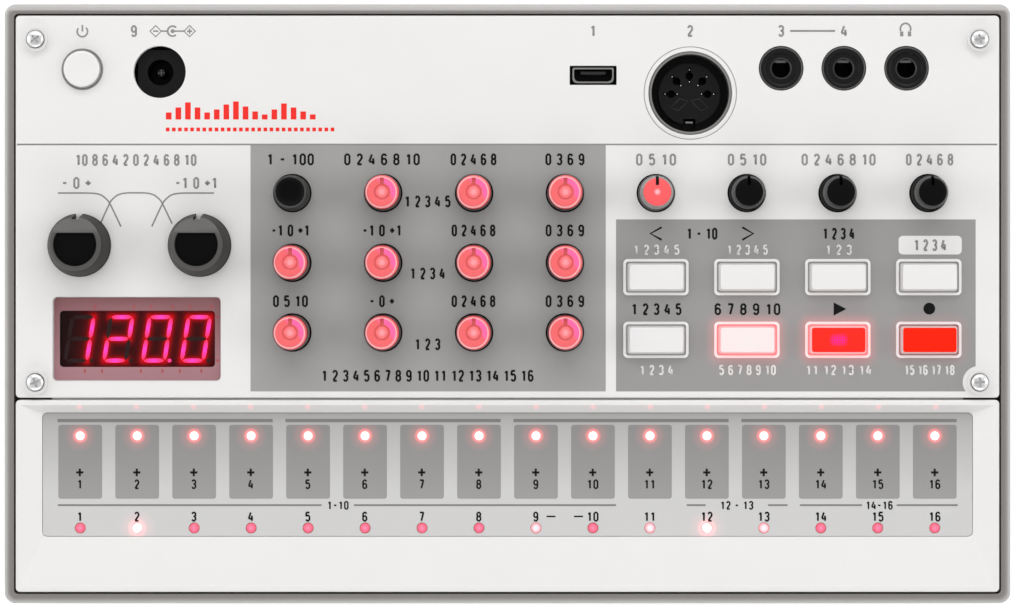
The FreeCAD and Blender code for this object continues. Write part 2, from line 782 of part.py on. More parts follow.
def add_shell_speaker_seat(body):
    """Ring that centres the speaker, and rings of grille holes under it."""
    ring = new_sketch(body, "speaker_ring", "Level.floor_top")
    inner = "Size.speaker_radius + Size.fit_gap"
    draw_circle(ring, "Level.speaker_x", "Level.bay_y", inner)
    outer = f"{inner} + Size.speaker_ring_wall"
    draw_circle(ring, "Level.speaker_x", "Level.bay_y", outer)
    pad(body, ring, "Size.speaker_ring_height")
    grille = new_sketch(body, "grille_holes", "Size.foot_stand")
    draw_circle(grille, "Level.speaker_x", "Level.bay_y", "Size.grille_hole_radius")
    for ring_number in range(1, GRILLE_RINGS + 1):
        for step in range(6 * ring_number):
            turn = 60 / ring_number * step
            x = f"Level.speaker_x + {ring_number} * Size.grille_ring_pitch * cos({turn} deg)"
            y = f"Level.bay_y + {ring_number} * Size.grille_ring_pitch * sin({turn} deg)"
            draw_circle(grille, x, y, "Size.grille_hole_radius")
    pocket(body, grille, "Size.shell_floor", down=False)


def make_control_panel():
    """White panel: plate and skirt, screw collars, button lips, board posts and every opening."""
    body = new_body("control_panel")
    plate = new_sketch(body, "panel_outline", "Level.skirt_end")
    centre_y = "(Level.insert_y + Level.panel_front) / 2"
    width = "2 * Level.insert_x"
    depth = "Level.insert_y - Level.panel_front"
    draw_rounded(plate, "0", centre_y, width, depth, "Size.case_corner")
    slab = pad(body, plate, "Size.panel_thickness + Size.skirt_reach")
    DOC.recompute()
    top = level_edges(slab.Shape, number("Size.panel_height"))
    round_edges(body, slab, top, "Size.panel_edge")
    hollow = new_sketch(body, "panel_hollow", "Level.skirt_end")
    side = "(Level.insert_x - Size.skirt_wall)"
    rear = "Level.insert_y - Size.skirt_wall"
    front = "Level.panel_front - Size.seam_gap"
    draw_polygon(hollow, [(f"-{side}", front), (side, front), (side, rear), (f"-{side}", rear)])
    pocket(body, hollow, "Size.skirt_reach", down=False)
    add_panel_raised(body)
    add_panel_round_holes(body)
    add_panel_shaped_holes(body)


def add_panel_raised(body):
    """Collars and button lips on top, posts for the main board below."""
    raised = new_sketch(body, "screw_collars", "Level.panel_under")
    for x, y in panel_screw_places():
        draw_circle(raised, x, y, "Size.collar_radius")
    pad(body, raised, "Size.panel_thickness + Size.collar_height")
    for row, y, names in button_rows():
        lips = new_sketch(body, row + "_button_lips", "Level.panel_under")
        for place, _name in enumerate(names, start=4):
            draw_rounded(lips, column(place), y, "Size.lip_width", "Size.lip_depth", "Size.lip_corner")
        pad(body, lips, "Size.panel_thickness + Size.lip_height")
    posts = new_sketch(body, "board_posts", "Size.panel_height - Size.panel_thickness / 2")
    for x, y in board_post_places():
        draw_circle(posts, x, y, "Size.board_post_radius")
    pad(body, posts, "Level.board_standoff + Size.panel_thickness / 2", down=True)
    pilots = new_sketch(body, "board_post_holes", "Level.board_top")
    for x, y in board_post_places():
        draw_circle(pilots, x, y, "Size.board_screw_radius + Size.thread_gap")
    pocket(body, pilots, "Size.board_screw_bite", down=False)


def add_panel_round_holes(body):
    """Openings for knobs, screws, the power button and the round sockets."""
    holes = new_sketch(body, "round_holes", "Level.skirt_end")
    for _name, x, y in knob_places():
        draw_circle(holes, x, y, "Size.knob_radius + Size.spin_gap")
    for _name, x, y in isolator_places():
        draw_circle(holes, x, y, "Size.shaft_radius + Size.spin_gap")
    for x, y in panel_screw_places():
        draw_circle(holes, x, y, "Size.panel_screw_radius + Size.spin_gap")
    for x, y in jack_places():
        draw_circle(holes, x, y, "Size.jack_boss_radius + Size.fit_gap")
    draw_circle(holes, "Level.power_x", "Level.power_y", "Size.power_radius + Size.slide_gap")
    draw_circle(holes, "Level.dc_x", "Level.dc_y", "Size.dc_hole_radius")
    draw_circle(holes, "Level.midi_x", "Level.midi_y", "Size.midi_ring_radius + Size.fit_gap")
    depth = "Size.skirt_reach + Size.panel_thickness + Size.collar_height"
    drilled = pocket(body, holes, depth, down=False)
    DOC.recompute()
    rim = number("Size.midi_ring_radius + Size.fit_gap")
    names = []
    for name in level_edges(drilled.Shape, number("Size.panel_height")):
        curve = drilled.Shape.getElement(name).Curve
        if isinstance(curve, Part.Circle) and abs(curve.Radius - rim) < 1e-4:
            names.append(name)
    bevel = body.newObject("PartDesign::Chamfer", "midi_countersink")
    bevel.Base = (drilled, names)
    bevel.setExpression("Size", "Size.midi_countersink")


def add_panel_shaped_holes(body):
    """Openings for the buttons, the small data socket and the display with its ledge."""
    width = "Size.lip_width - 2 * Size.lip_wall"
    depth = "Size.lip_depth - 2 * Size.lip_wall"
    corner = "(Size.lip_corner - Size.lip_wall + Size.fit_gap)"
    for row, y, names in button_rows():
        caps = new_sketch(body, row + "_button_holes", "Level.skirt_end")
        for place, _name in enumerate(names, start=4):
            draw_rounded(caps, column(place), y, width, depth, corner)
        pocket(body, caps, "Size.skirt_reach + Size.panel_thickness + Size.lip_height", down=False)
    slot = new_sketch(body, "usb_hole", "Size.panel_height")
    draw_block(slot, "Level.usb_x", "Level.usb_y", "Size.usb_hole_width", "Size.usb_hole_depth")
    pocket(body, slot, "Size.panel_thickness")
    pane = new_sketch(body, "window_seat", "Size.panel_height")
    width = "Size.window_width + 2 * Size.fit_gap"
    depth = "Size.window_depth + 2 * Size.fit_gap"
    corner = "(Size.window_corner + Size.fit_gap)"
    draw_rounded(pane, "Level.window_x", "Level.window_y", width, depth, corner)
    pocket(body, pane, "Size.window_drop + Size.window_thickness")
    sight = new_sketch(body, "window_sight", "Size.panel_height")
    sight_width = "Size.window_width - 2 * Size.window_ledge"
    sight_depth = "Size.window_depth - 2 * Size.window_ledge"
    draw_block(sight, "Level.window_x", "Level.window_y", sight_width, sight_depth)
    pocket(body, sight, "Size.panel_thickness")


def make_keyboard_frame():
    """White frame round the touch keys: level land, sloped dish, skirt, posts and a rear tongue."""
    body = new_body("keyboard_frame")
    outline = new_sketch(body, "frame_outline", "Level.skirt_end")
    centre_y = "(Level.frame_rear - Level.insert_y) / 2"
    draw_rounded(outline, "0", centre_y, "2 * Level.insert_x", "Size.keyboard_depth", "Size.case_corner")
    slab = pad(body, outline, "Size.panel_height - Level.skirt_end")
    DOC.recompute()
    top = level_edges(slab.Shape, number("Size.panel_height"))
    round_edges(body, slab, top, "Size.panel_edge")
    hollow = new_sketch(body, "frame_hollow", "Level.skirt_end")
    side = "(Level.insert_x - Size.skirt_wall)"
    front = "Size.skirt_wall - Level.insert_y"
    rear = "Level.frame_rear + Size.seam_gap"
    draw_polygon(hollow, [(f"-{side}", front), (side, front), (side, rear), (f"-{side}", rear)])
    pocket(body, hollow, "Level.frame_under - Level.skirt_end", down=False)
    add_frame_dish(body)
    add_frame_fixings(body)


def add_frame_dish(body):
    """Slopes from the land down to the touch keys, and the opening that holds them."""
    land = new_sketch(body, "dish_rim", "Size.panel_height")
    side = "(Level.insert_x - Size.land_width)"
    front = "Size.land_width - Level.insert_y"
    rear = "Level.frame_rear - Size.land_width"
    draw_polygon(land, [(f"-{side}", front), (side, front), (side, rear), (f"-{side}", rear)])
    foot = new_sketch(body, "dish_floor", "Level.overlay_top")
    half = "(Level.overlay_width / 2 + Size.fit_gap)"
    near = "Level.overlay_front - Size.fit_gap"
    far = "Level.overlay_rear + Size.fit_gap"
    draw_polygon(foot, [(f"-{half}", near), (half, near), (half, far), (f"-{half}", far)])
    dish = body.newObject("PartDesign::SubtractiveLoft", "dish")
    dish.Profile = land
    dish.Sections = [foot]
    dish.Ruled = True
    opening = new_sketch(body, "overlay_opening", "Level.overlay_top")
    width = "Level.overlay_width + 2 * Size.fit_gap"
    depth = "Level.overlay_depth + 2 * Size.fit_gap"
    middle = "(Level.overlay_rear + Level.overlay_front) / 2"
    draw_rounded(opening, "0", middle, width, depth, "(Size.overlay_corner + Size.fit_gap)")
    pocket(body, opening, "Size.overlay_thickness")


def add_frame_fixings(body):
    """Posts for the case screws, blind holes for the touch board's, and the tongue at the seam."""
    posts = new_sketch(body, "frame_posts", "Level.frame_under")
    pilots = new_sketch(body, "frame_post_holes", "Level.case_boss_top")
    for x, y in case_screw_places():
        draw_circle(posts, x, y, "Size.frame_post_radius")
        draw_circle(pilots, x, y, "Size.case_screw_radius + Size.thread_gap")
    pad(body, posts, "Level.frame_under - Level.case_boss_top", down=True)
    pocket(body, pilots, "Size.case_screw_length", down=False)
    bites = new_sketch(body, "touch_board_holes", "Level.frame_under")
    for x, y in touch_screw_places():
        draw_circle(bites, x, y, "Size.board_screw_radius + Size.thread_gap")
    pocket(body, bites, "Size.board_screw_bite", down=False)
    tongue = new_sketch(body, "seam_tongue", "Level.panel_under - Size.fit_gap")
    half = "(Level.screw_x - Size.panel_boss_radius - Size.slide_gap)"
    rear = "Level.panel_front + Size.seam_tongue_reach"
    root = "Level.frame_rear - Size.land_width"
    draw_polygon(tongue, [(f"-{half}", root), (half, root), (half, rear), (f"-{half}", rear)])
    pad(body, tongue, "Size.seam_tongue_thickness", down=True)


def make_touch_overlay():
    """Grey touch sheet with a hole for each of its lamps."""
    body = new_body("touch_overlay")
    outline = new_sketch(body, "overlay_outline", "Level.frame_under")
    middle = "(Level.overlay_rear + Level.overlay_front) / 2"
    draw_rounded(outline, "0", middle, "Level.overlay_width", "Level.overlay_depth", "Size.overlay_corner")
    pad(body, outline, "Size.overlay_thickness")
    holes = new_sketch(body, "lamp_holes", "Level.overlay_top")
    for x, y in key_lamp_places():
        draw_circle(holes, x, y, "Size.key_lamp_radius + Size.fit_gap")
    pocket(body, holes, "Size.overlay_thickness")


def key_lamp_places():
    """The rear lamp in each key and the front lamp below it."""
    for y in (
        "(Level.overlay_rear - Size.key_lamp_rear_inset)",
        "(Level.overlay_front + Size.key_lamp_front_inset)",
    ):
        for index in range(KEY_COUNT):
            yield key_x(index), y


def make_keyboard_lamps():
    """Thirty-two small round lamps, a short cylinder with a low crown each."""
    lamps = []
    for index, (x, y) in enumerate(key_lamp_places(), start=1):
        stem = rod(f"lamp_stem_{index}", x, y, "Level.frame_under", "Size.key_lamp_radius",
                   "Size.overlay_thickness")
        crown = taper_rod(f"lamp_crown_{index}", x, y, "Level.overlay_top", "Size.key_lamp_radius",
                          "Size.key_lamp_radius / 2", "Size.key_lamp_crown")
        lamps.append(join(f"key_lamp_{index}", stem, crown))
    group("keyboard_lamps", lamps)


def make_touch_board():
    """Circuit board of the touch keys, screwed up against the frame."""
    rear = "(Level.overlay_rear + Size.touch_board_rear)"
    front = "(Level.overlay_front - Size.touch_board_front)"
    width = "Level.overlay_width + 2 * Size.touch_board_side"
    sheet = block("touch_board_sheet", "0", f"({rear} + {front}) / 2", "Level.touch_board_under", width,
                  f"{rear} - {front}", "Size.board_thickness")
    holes = []
    for index, (x, y) in enumerate(touch_screw_places(), start=1):
        holes.append(rod(f"touch_board_hole_{index}", x, y, "Level.touch_board_under",
                         "Size.board_screw_radius + Size.fit_gap", "Size.board_thickness"))
    keep(cut("touch_board", sheet, *holes), "touch_board")


def make_main_board():
    """Main circuit board with holes for its screws and for the tips of jack plugs."""
    middle = "(Level.board_rear + Level.board_front) / 2"
    sheet = block("main_board_sheet", "0", middle, "Level.board_under", "2 * Level.board_half",
                  "Level.board_rear - Level.board_front", "Size.board_thickness")
    holes = []
    for index, (x, y) in enumerate(board_post_places(), start=1):
        holes.append(rod(f"main_board_screw_hole_{index}", x, y, "Level.board_under",
                         "Size.board_screw_radius + Size.fit_gap", "Size.board_thickness"))
    for index, (x, y) in enumerate(jack_places(), start=1):
        holes.append(rod(f"main_board_jack_hole_{index}", x, y, "Level.board_under",
                         "Size.jack_hole_radius", "Size.board_thickness"))
    keep(cut("main_board", sheet, *holes), "main_board")


# Fasteners and feet

def screw(name, x, y, seat, shank_radius, length, head_radius, head_height, up):
    """Screw with a domed, cross recessed head whose underside is at seat; up: head above the shank."""
    crown = f"{head_radius} * Size.head_crown"
    if up:
        shank = rod(name + "_shank", x, y, f"{seat} - ({length})", shank_radius, length)
        dome = taper_rod(name + "_head", x, y, seat, head_radius, crown, head_height)
        recess_z = f"{seat} + {head_height} - Size.recess_depth"
    else:
        shank = rod(name + "_shank", x, y, seat, shank_radius, length)
        dome = taper_rod(name + "_head", x, y, f"{seat} - {head_height}", crown, head_radius, head_height)
        recess_z = f"{seat} - {head_height}"
    span = f"{head_radius} * Size.recess_span"
    slot = block(name + "_slot", x, y, recess_z, span, "Size.recess_width", "Size.recess_depth")
    cross = block(name + "_cross", x, y, recess_z, "Size.recess_width", span, "Size.recess_depth")
    return cut(name, join(name + "_blank", shank, dome), slot, cross)


def make_panel_screws():
    """Four chrome screws on their collars, down into the tall bosses."""
    seat = "(Size.panel_height + Size.collar_height)"
    length = "Size.panel_screw_length + Size.panel_thickness + Size.collar_height - Size.shaft_end_gap"
    screws = []
    for index, (x, y) in enumerate(panel_screw_places(), start=1):
        screws.append(screw(f"panel_screw_{index}", x, y, seat, "Size.panel_screw_radius", length,
                            "Size.panel_screw_head_radius", "Size.panel_screw_head_height", True))
    group("panel_screws", screws)


def make_case_screws():
    """Four screws from below, through the tub into the posts of the keyboard frame."""
    seat = "(Level.case_boss_top - Size.case_boss_web)"
    length = "Size.case_screw_length + Size.case_boss_web - Size.shaft_end_gap"
    screws = []
    for index, (x, y) in enumerate(case_screw_places(), start=1):
        screws.append(screw(f"case_screw_{index}", x, y, seat, "Size.case_screw_radius", length,
                            "Size.case_screw_head_radius", "Size.case_screw_head_height", False))
    group("case_screws", screws)


def make_board_screws():
    """Ten small screws from below: six hold the main board, four the touch board."""
    places = [(x, y, "Level.board_under") for x, y in board_post_places()]
    places += [(x, y, "Level.touch_board_under") for x, y in touch_screw_places()]
    length = "Size.board_thickness + Size.board_screw_bite - Size.fit_gap"
    screws = []
    for index, (x, y, seat) in enumerate(places, start=1):
        screws.append(screw(f"board_screw_{index}", x, y, seat, "Size.board_screw_radius", length,
                            "Size.board_screw_head_radius", "Size.board_screw_head_height", False))
    group("board_screws", screws)


def make_rubber_feet():
    """Four round feet set into the floor, with a softened lower edge."""
    feet = []
    for index, (x, y) in enumerate(foot_places(), start=1):
        pad_height = "Size.foot_stand + Size.foot_seat_depth - Size.foot_edge"
        trunk = rod(f"foot_trunk_{index}", x, y, "Size.foot_edge", "Size.foot_radius", pad_height)
        toe = taper_rod(f"foot_toe_{index}", x, y, "0", "Size.foot_radius - Size.foot_edge",
                        "Size.foot_radius", "Size.foot_edge")
        feet.append(join(f"foot_{index}", trunk, toe))
    group("rubber_feet", feet)


# Knobs, buttons and what carries them

def make_small_knobs():
    """Sixteen small knobs, each one moulding with its shaft down into the part below it."""
    for name, x, y in knob_places():
        body = new_body(name)
        put(body, x, y, "Size.panel_height")
        profile = new_sketch(body, name + "_profile", role="XZ_Plane")
        if name == "sample_select_knob":
            draw_polygon(profile, encoder_profile())
            revolve(body, profile)
        else:
            draw_polygon(profile, pointer_knob_profile())
            revolve(body, profile)
            add_pointer_notch(body, name)


def shaft_profile():
    """Lower points of a small knob: the shaft from its end up to the collar below the panel."""
    end = "Level.knob_shaft_end - Size.panel_height"
    pot_top = "Level.board_top + Level.pot_height + Size.pot_collar_height"
    shoulder = f"{pot_top} + Size.spin_gap - Size.panel_height"
    return [
        ("0", end),
        ("Size.shaft_radius", end),
        ("Size.shaft_radius", shoulder),
        ("Size.knob_radius", shoulder),
    ]


def pointer_knob_profile():
    """Straight side, bevelled shoulder and a low crown."""
    return shaft_profile() + [
        ("Size.knob_radius", "Size.knob_height - Size.knob_bevel - Size.knob_dome"),
        ("Size.knob_top_radius", "Size.knob_height - Size.knob_dome"),
        ("Size.knob_top_radius / 2", "Size.knob_height - Size.knob_dome / 4"),
        ("0", "Size.knob_height"),
    ]


def encoder_profile():
    """Waisted side, flared rim and a dished top."""
    return shaft_profile() + [
        ("Size.knob_radius", "Size.encoder_flare_height"),
        ("Size.encoder_waist_radius", "Size.encoder_waist_height"),
        ("Size.encoder_top_radius", "Size.knob_height - Size.knob_dome"),
        ("Size.encoder_top_radius - Size.knob_dome", "Size.knob_height"),
        ("Size.encoder_top_radius / 2", "Size.knob_height - Size.encoder_dish"),
        ("0", "Size.knob_height - Size.encoder_dish"),
    ]


def add_pointer_notch(body, name):
    """Pointer cut into the rear of a small knob's top."""
    notch = new_sketch(body, name + "_notch", "Size.knob_height")
    centre_y = "Size.knob_radius - Size.knob_notch_depth / 2 + Size.fit_gap"
    draw_block(notch, "0", centre_y, "Size.knob_notch_width", "Size.knob_notch_depth + 2 * Size.fit_gap")
    pocket(body, notch, "Size.knob_notch_length")


def make_isolator_knobs():
    """Two large knobs pressed on their shafts: cone, dished top, facet and pointer groove."""
    for name, x, y in isolator_places():
        body = new_body(name + "_knob")
        put(body, x, y, "Size.panel_height")
        profile = new_sketch(body, name + "_knob_profile", role="XZ_Plane")
        bore = "(Size.shaft_radius + Size.thread_gap)"
        roof = "Size.isolator_height - Size.isolator_roof"
        dish = "Size.isolator_height - Size.isolator_dish_depth"
        draw_polygon(profile, [
            (bore, "Size.spin_gap"),
            ("Size.isolator_radius", "Size.spin_gap"),
            ("Size.isolator_radius", "Size.spin_gap + Size.isolator_skirt"),
            ("Size.isolator_top_radius + Size.fit_gap", "Size.isolator_height - Size.fit_gap"),
            ("Size.isolator_top_radius", "Size.isolator_height"),
            ("Size.isolator_dish_radius", "Size.isolator_height"),
            ("Size.isolator_dish_radius - Size.isolator_dish_depth", dish),
            ("0", dish),
            ("0", roof),
            (bore, roof),
        ])
        revolve(body, profile)
        add_isolator_facet(body, name)
        groove = new_sketch(body, name + "_groove", "Size.isolator_height")
        depth = "Size.isolator_groove_depth + Size.isolator_radius - Size.isolator_top_radius"
        reach = f"({depth} + 2 * Size.fit_gap)"
        centre_y = f"Size.isolator_radius + Size.fit_gap - {reach} / 2 + Size.fit_gap"
        draw_block(groove, "0", centre_y, "Size.isolator_groove_width", reach)
        pocket(body, groove, "Size.isolator_height - Size.isolator_skirt - Size.spin_gap")


def add_isolator_facet(body, name):
    """Plane that slopes down to the rear from a line across the top."""
    facet = new_sketch(body, name + "_facet", role="YZ_Plane")
    reach = "Size.isolator_radius + Size.spin_gap"
    draw_polygon(facet, [
        ("Size.isolator_facet_setback", "Size.isolator_height - Size.isolator_dish_depth"),
        (reach, "Size.isolator_height - Size.isolator_dish_depth - Size.isolator_facet_drop"),
        (reach, "Size.isolator_height + Size.spin_gap"),
        ("Size.isolator_facet_setback", "Size.isolator_height + Size.spin_gap"),
    ])
    trim = body.newObject("PartDesign::Pocket", name + "_facet_cut")
    trim.Profile = facet
    trim.setExpression("Length", "2 * Size.isolator_radius")
    trim.Midplane = True


def make_isolator_shafts():
    """Plain shafts that join the two large knobs to their potentiometers."""
    for name, x, y in isolator_places():
        top = "Size.panel_height + Size.isolator_height - Size.isolator_roof - Size.fit_gap"
        shaft = rod(name + "_shaft", x, y, "Level.knob_shaft_end", "Size.shaft_radius",
                    f"{top} - Level.knob_shaft_end")
        keep(shaft, name + "_shaft")


def pot_body(name, x, y, width, depth):
    """Moulded body with a collar, a bore for the shaft and a well for a lamp under it."""
    case = block(name + "_case", x, y, "Level.board_top", width, depth, "Level.pot_height")
    collar = rod(name + "_collar", x, y, "Level.board_top", "Size.pot_collar_radius",
                 "Level.pot_height + Size.pot_collar_height")
    bore = rod(name + "_bore", x, y, "Level.board_top + Size.pot_bore_floor",
               "Size.shaft_radius + Size.shaft_gap",
               "Level.pot_height + Size.pot_collar_height")
    well = rod(name + "_well", x, y, "Level.board_top", "Size.lamp_radius + Size.spin_gap",
               "Level.pot_height")
    return cut(name, join(name + "_blank", case, collar), bore, well)


def make_potentiometers():
    """Seventeen potentiometer bodies, and the rotary encoder's body under the select knob."""
    pots = []
    for name, x, y in knob_places():
        if name != "sample_select_knob":
            pots.append(pot_body(name.replace("_knob", "_pot"), x, y, "Size.pot_width", "Size.pot_depth"))
    for name, x, y in isolator_places():
        pots.append(pot_body(name + "_pot", x, y, "Size.pot_width", "Size.pot_depth"))
    group("potentiometer_bodies", pots)
    x, y = column(0), knob_row(0)
    encoder = pot_body("encoder_body", x, y, "Size.encoder_body_size", "Size.encoder_body_size")
    keep(encoder, "encoder_body")


def lit_knob_places():
    """The small knobs that glow: all pointer knobs of the grid, and the tempo knob."""
    dark = ("sample_select_knob", "swing_knob", "reverb_knob", "volume_knob")
    return [(x, y) for name, x, y in knob_places() if name not in dark]


def make_indicator_lamps():
    """Lamps on the main board, under the glowing knobs and beside the switches of lit buttons."""
    lamps = []
    for index, (x, y) in enumerate(lit_knob_places(), start=1):
        lamps.append(rod(f"knob_lamp_{index}", x, y, "Level.board_top", "Size.lamp_radius",
                         "Size.lamp_height"))
    for name, x, y in button_places():
        if name in ("step_mode_button", "play_button", "record_button"):
            beside = f"{x} + Size.switch_size / 2 + Size.spin_gap + Size.lamp_radius"
            lamps.append(rod(name + "_lamp", beside, y, "Level.board_top", "Size.lamp_radius",
                             "Size.lamp_height"))
    group("indicator_lamps", lamps)


def make_buttons():
    """Eight caps: tapered face, flange under the panel and a stem down into the switch."""
    for name, x, y in button_places():
        body = new_body(name)
        put(body, x, y, "0")
        width = "2 * Level.cap_half_width"
        depth = "2 * Level.cap_half_depth"
        face = new_sketch(body, name + "_face", "Size.panel_height + Size.cap_straight")
        draw_rounded(face, "0", "0", width, depth, "Size.cap_corner")
        pad(body, face, "Size.cap_rise - Size.cap_straight", taper="-Size.cap_taper")
        straight = new_sketch(body, name + "_side", "Level.flange_top - Size.cap_flange_thickness")
        draw_rounded(straight, "0", "0", width, depth, "Size.cap_corner")
        rise = "Size.panel_height + Size.cap_straight - Level.flange_top + Size.cap_flange_thickness"
        pad(body, straight, rise)
        flange = new_sketch(body, name + "_flange", "Level.flange_top")
        flange_width = f"{width} + 2 * Size.cap_flange_reach"
        flange_depth = f"{depth} + 2 * Size.cap_flange_reach"
        draw_rounded(flange, "0", "0", flange_width, flange_depth, "Size.cap_corner")
        pad(body, flange, "Size.cap_flange_thickness", down=True)
        stem = new_sketch(body, name + "_stem", "Level.flange_top - Size.cap_flange_thickness")
        draw_circle(stem, "0", "0", "Size.stem_radius")
        reach = "Level.flange_top - Size.cap_flange_thickness - Level.switch_top + Size.stem_engagement"
        pad(body, stem, reach, down=True)


def make_power_button():
    """Round cap with a flange under the panel and a stem."""
    body = new_body("power_button")
    put(body, "Level.power_x", "Level.power_y", "0")
    profile = new_sketch(body, "power_profile", role="XZ_Plane")
    top = "Size.panel_height + Size.power_rise"
    flange_under = "Level.flange_top - Size.cap_flange_thickness"
    stem_end = "Level.switch_top - Size.stem_engagement"
    flange = "Size.power_radius + Size.slide_gap + Size.cap_flange_reach"
    draw_polygon(profile, [
        ("0", stem_end),
        ("Size.stem_radius", stem_end),
        ("Size.stem_radius", flange_under),
        (flange, flange_under),
        (flange, "Level.flange_top"),
        ("Size.power_radius", "Level.flange_top"),
        ("Size.power_radius", f"{top} - Size.power_edge"),
        ("Size.power_radius - Size.power_edge", top),
        ("0", top),
    ])
    revolve(body, profile)


def switch_body(name, x, y, size, travel):
    """Square switch with a blind bore that guides the stem over its travel."""
    case = block(name + "_case", x, y, "Level.board_top", size, size, "Size.switch_height")
    depth = f"Size.stem_engagement + {travel} + Size.slide_gap"
    bore = rod(name + "_bore", x, y, f"Level.switch_top - ({depth})",
               "Size.stem_radius + Size.spin_gap", depth)
    return cut(name, case, bore)


def make_switches():
    """Key switches of the eight buttons, and the power switch."""
    switches = []
    for name, x, y in button_places():
        switch = name.replace("_button", "_switch")
        switches.append(switch_body(switch, x, y, "Size.switch_size", "Size.button_travel"))
    group("key_switches", switches)
    power = switch_body("power_switch", "Level.power_x", "Level.power_y", "Size.power_switch_size",
                        "Size.power_travel")
    keep(power, "power_switch")


# Sockets

def make_jack_sockets():
    """Three jacks for small plugs: body, boss up through the panel, stepped mouth and bore."""
    jacks = []
    for index, (x, y) in enumerate(jack_places(), start=1):
        name = f"jack_{index}"
        case = block(name + "_case", x, y, "Level.board_top", "Size.jack_width", "Size.jack_depth",
                     "Level.board_standoff - Size.fit_gap")
        boss = rod(name + "_boss", x, y, "Level.board_top", "Size.jack_boss_radius",
                   "Size.panel_height - Level.board_top")
        bore = rod(name + "_bore", x, y, "Level.board_top", "Size.jack_bore_radius",
                   "Size.panel_height - Level.board_top")
        step = rod(name + "_step", x, y, "Size.panel_height - Size.jack_step_depth",
                   "Size.jack_step_radius", "Size.jack_step_depth")
        jacks.append(cut(name, join(name + "_blank", case, boss), bore, step))
    group("jack_sockets", jacks)


def make_dc_socket():
    """Power inlet: square body under its round hole, barrel bore and centre pin."""
    height = "(Level.board_standoff - Size.fit_gap)"
    case = block("dc_case", "(Level.dc_x + Size.dc_body_shift)", "(Level.dc_y - Size.dc_body_shift)",
                 "Level.board_top", "Size.dc_body_size", "Size.dc_body_size", height)
    floor = "Level.board_top + Size.dc_floor"
    barrel = rod("dc_barrel", "Level.dc_x", "Level.dc_y", floor, "Size.dc_barrel_radius",
                 f"{height} - Size.dc_floor")
    keep(cut("dc_socket", case, barrel), "dc_socket")
    pin = rod("dc_pin", "Level.dc_x", "Level.dc_y", floor, "Size.dc_pin_radius",
              f"{height} - Size.dc_floor - Size.dc_pin_drop")
    keep(pin, "dc_pin")


def make_usb_socket():
    """Small data socket: metal shell with two chamfered corners, cavity and tongue."""
    body = new_body("usb_socket")
    put(body, "Level.usb_x", "Level.usb_y", "0")
    shell = new_sketch(body, "usb_shell", "Level.board_top")
    draw_polygon(shell, usb_outline("0"))
    pad(body, shell, "Size.panel_height - Size.usb_drop - Level.board_top")
    cavity = new_sketch(body, "usb_cavity", "Size.panel_height - Size.usb_drop")
    draw_polygon(cavity, usb_outline("Size.usb_wall"))
    pocket(body, cavity, "Size.usb_cavity")
    tongue = new_sketch(body, "usb_tongue", "Size.panel_height - Size.usb_drop - Size.usb_cavity")
    tongue_y = "Size.usb_depth / 2 - Size.usb_wall - Size.usb_tongue_thickness"
    draw_block(tongue, "0", tongue_y, "Size.usb_tongue_width", "Size.usb_tongue_thickness")
    pad(body, tongue, "Size.usb_cavity - Size.usb_drop")


def usb_outline(inset):
    """Wide at the rear, chamfered at the two front corners, drawn inside by an inset."""
    side = f"(Size.usb_width / 2 - {inset})"
    rear = f"Size.usb_depth / 2 - {inset}"
    front = f"{inset} - Size.usb_depth / 2"
    slope = "Size.usb_chamfer"
    return [
        (f"{slope} - {side}", front),
        (f"{side} - {slope}", front),
        (side, f"{front} + {slope}"),
        (side, rear),
        (f"-{side}", rear),
        (f"-{side}", f"{front} + {slope}"),
    ]


def make_midi_socket():
    """Five pole round socket: metal shell and the moulded insert with its pin holes."""
    shell = new_body("midi_shell")
    put(shell, "Level.midi_x", "Level.midi_y", "0")
    wall = new_sketch(shell, "midi_wall", "Level.board_top")
    draw_circle(wall, "0", "0", "Size.midi_ring_radius")
    draw_circle(wall, "0", "0", "Size.midi_cavity_radius")
    pad(shell, wall, "Size.panel_height - Level.board_top")
    insert = new_body("midi_insert")
    put(insert, "Level.midi_x", "Level.midi_y", "0")
    base = new_sketch(insert, "midi_base", "Level.board_top")
    draw_circle(base, "0", "0", "Size.midi_cavity_radius - Size.thread_gap")
    pad(insert, base, "Size.midi_base_height")
    core = new_sketch(insert, "midi_core", "Level.board_top")
    draw_circle(core, "0", "0", "Size.midi_insert_radius")
    pad(insert, core, "Level.midi_insert_height")
    holes = new_sketch(insert, "midi_pin_holes", "Size.panel_height - Size.midi_insert_drop")
    for turn in (0, 45, 90, 135, 180):
        x = f"Size.midi_pin_circle * cos({turn} deg)" if turn != 90 else "0"
        y = f"Size.midi_pin_circle * sin({turn} deg)" if turn not in (0, 180) else "0"
        draw_circle(holes, x, y, "Size.midi_pin_radius")
    pocket(insert, holes, "Level.midi_insert_height - Size.midi_pin_floor")
    key = new_sketch(insert, "midi_key", "Size.panel_height - Size.midi_insert_drop")
    draw_block(key, "0", "-Size.midi_insert_radius", "Size.midi_key_width", "Size.midi_key_width")
    pocket(insert, key, "Level.midi_insert_height - Size.midi_pin_floor")


# Display

def make_display():
    """Tinted window in its ledge and the dark module under it."""
    window = new_body("display_window")
    pane = new_sketch(window, "pane", "Level.window_under")
    draw_rounded(pane, "Level.window_x", "Level.window_y", "Size.window_width", "Size.window_depth",
                 "Size.window_corner")
    pad(window, pane, "Size.window_thickness")
    module = new_body("display_module")
    case = new_sketch(module, "module_case", "Level.board_top")
    draw_block(case, "Level.window_x", "Level.window_y", "Size.window_width - 2 * Size.window_ledge",
               "Size.window_depth - 2 * Size.window_ledge")
    pad(module, case, "Level.module_top - Level.board_top")


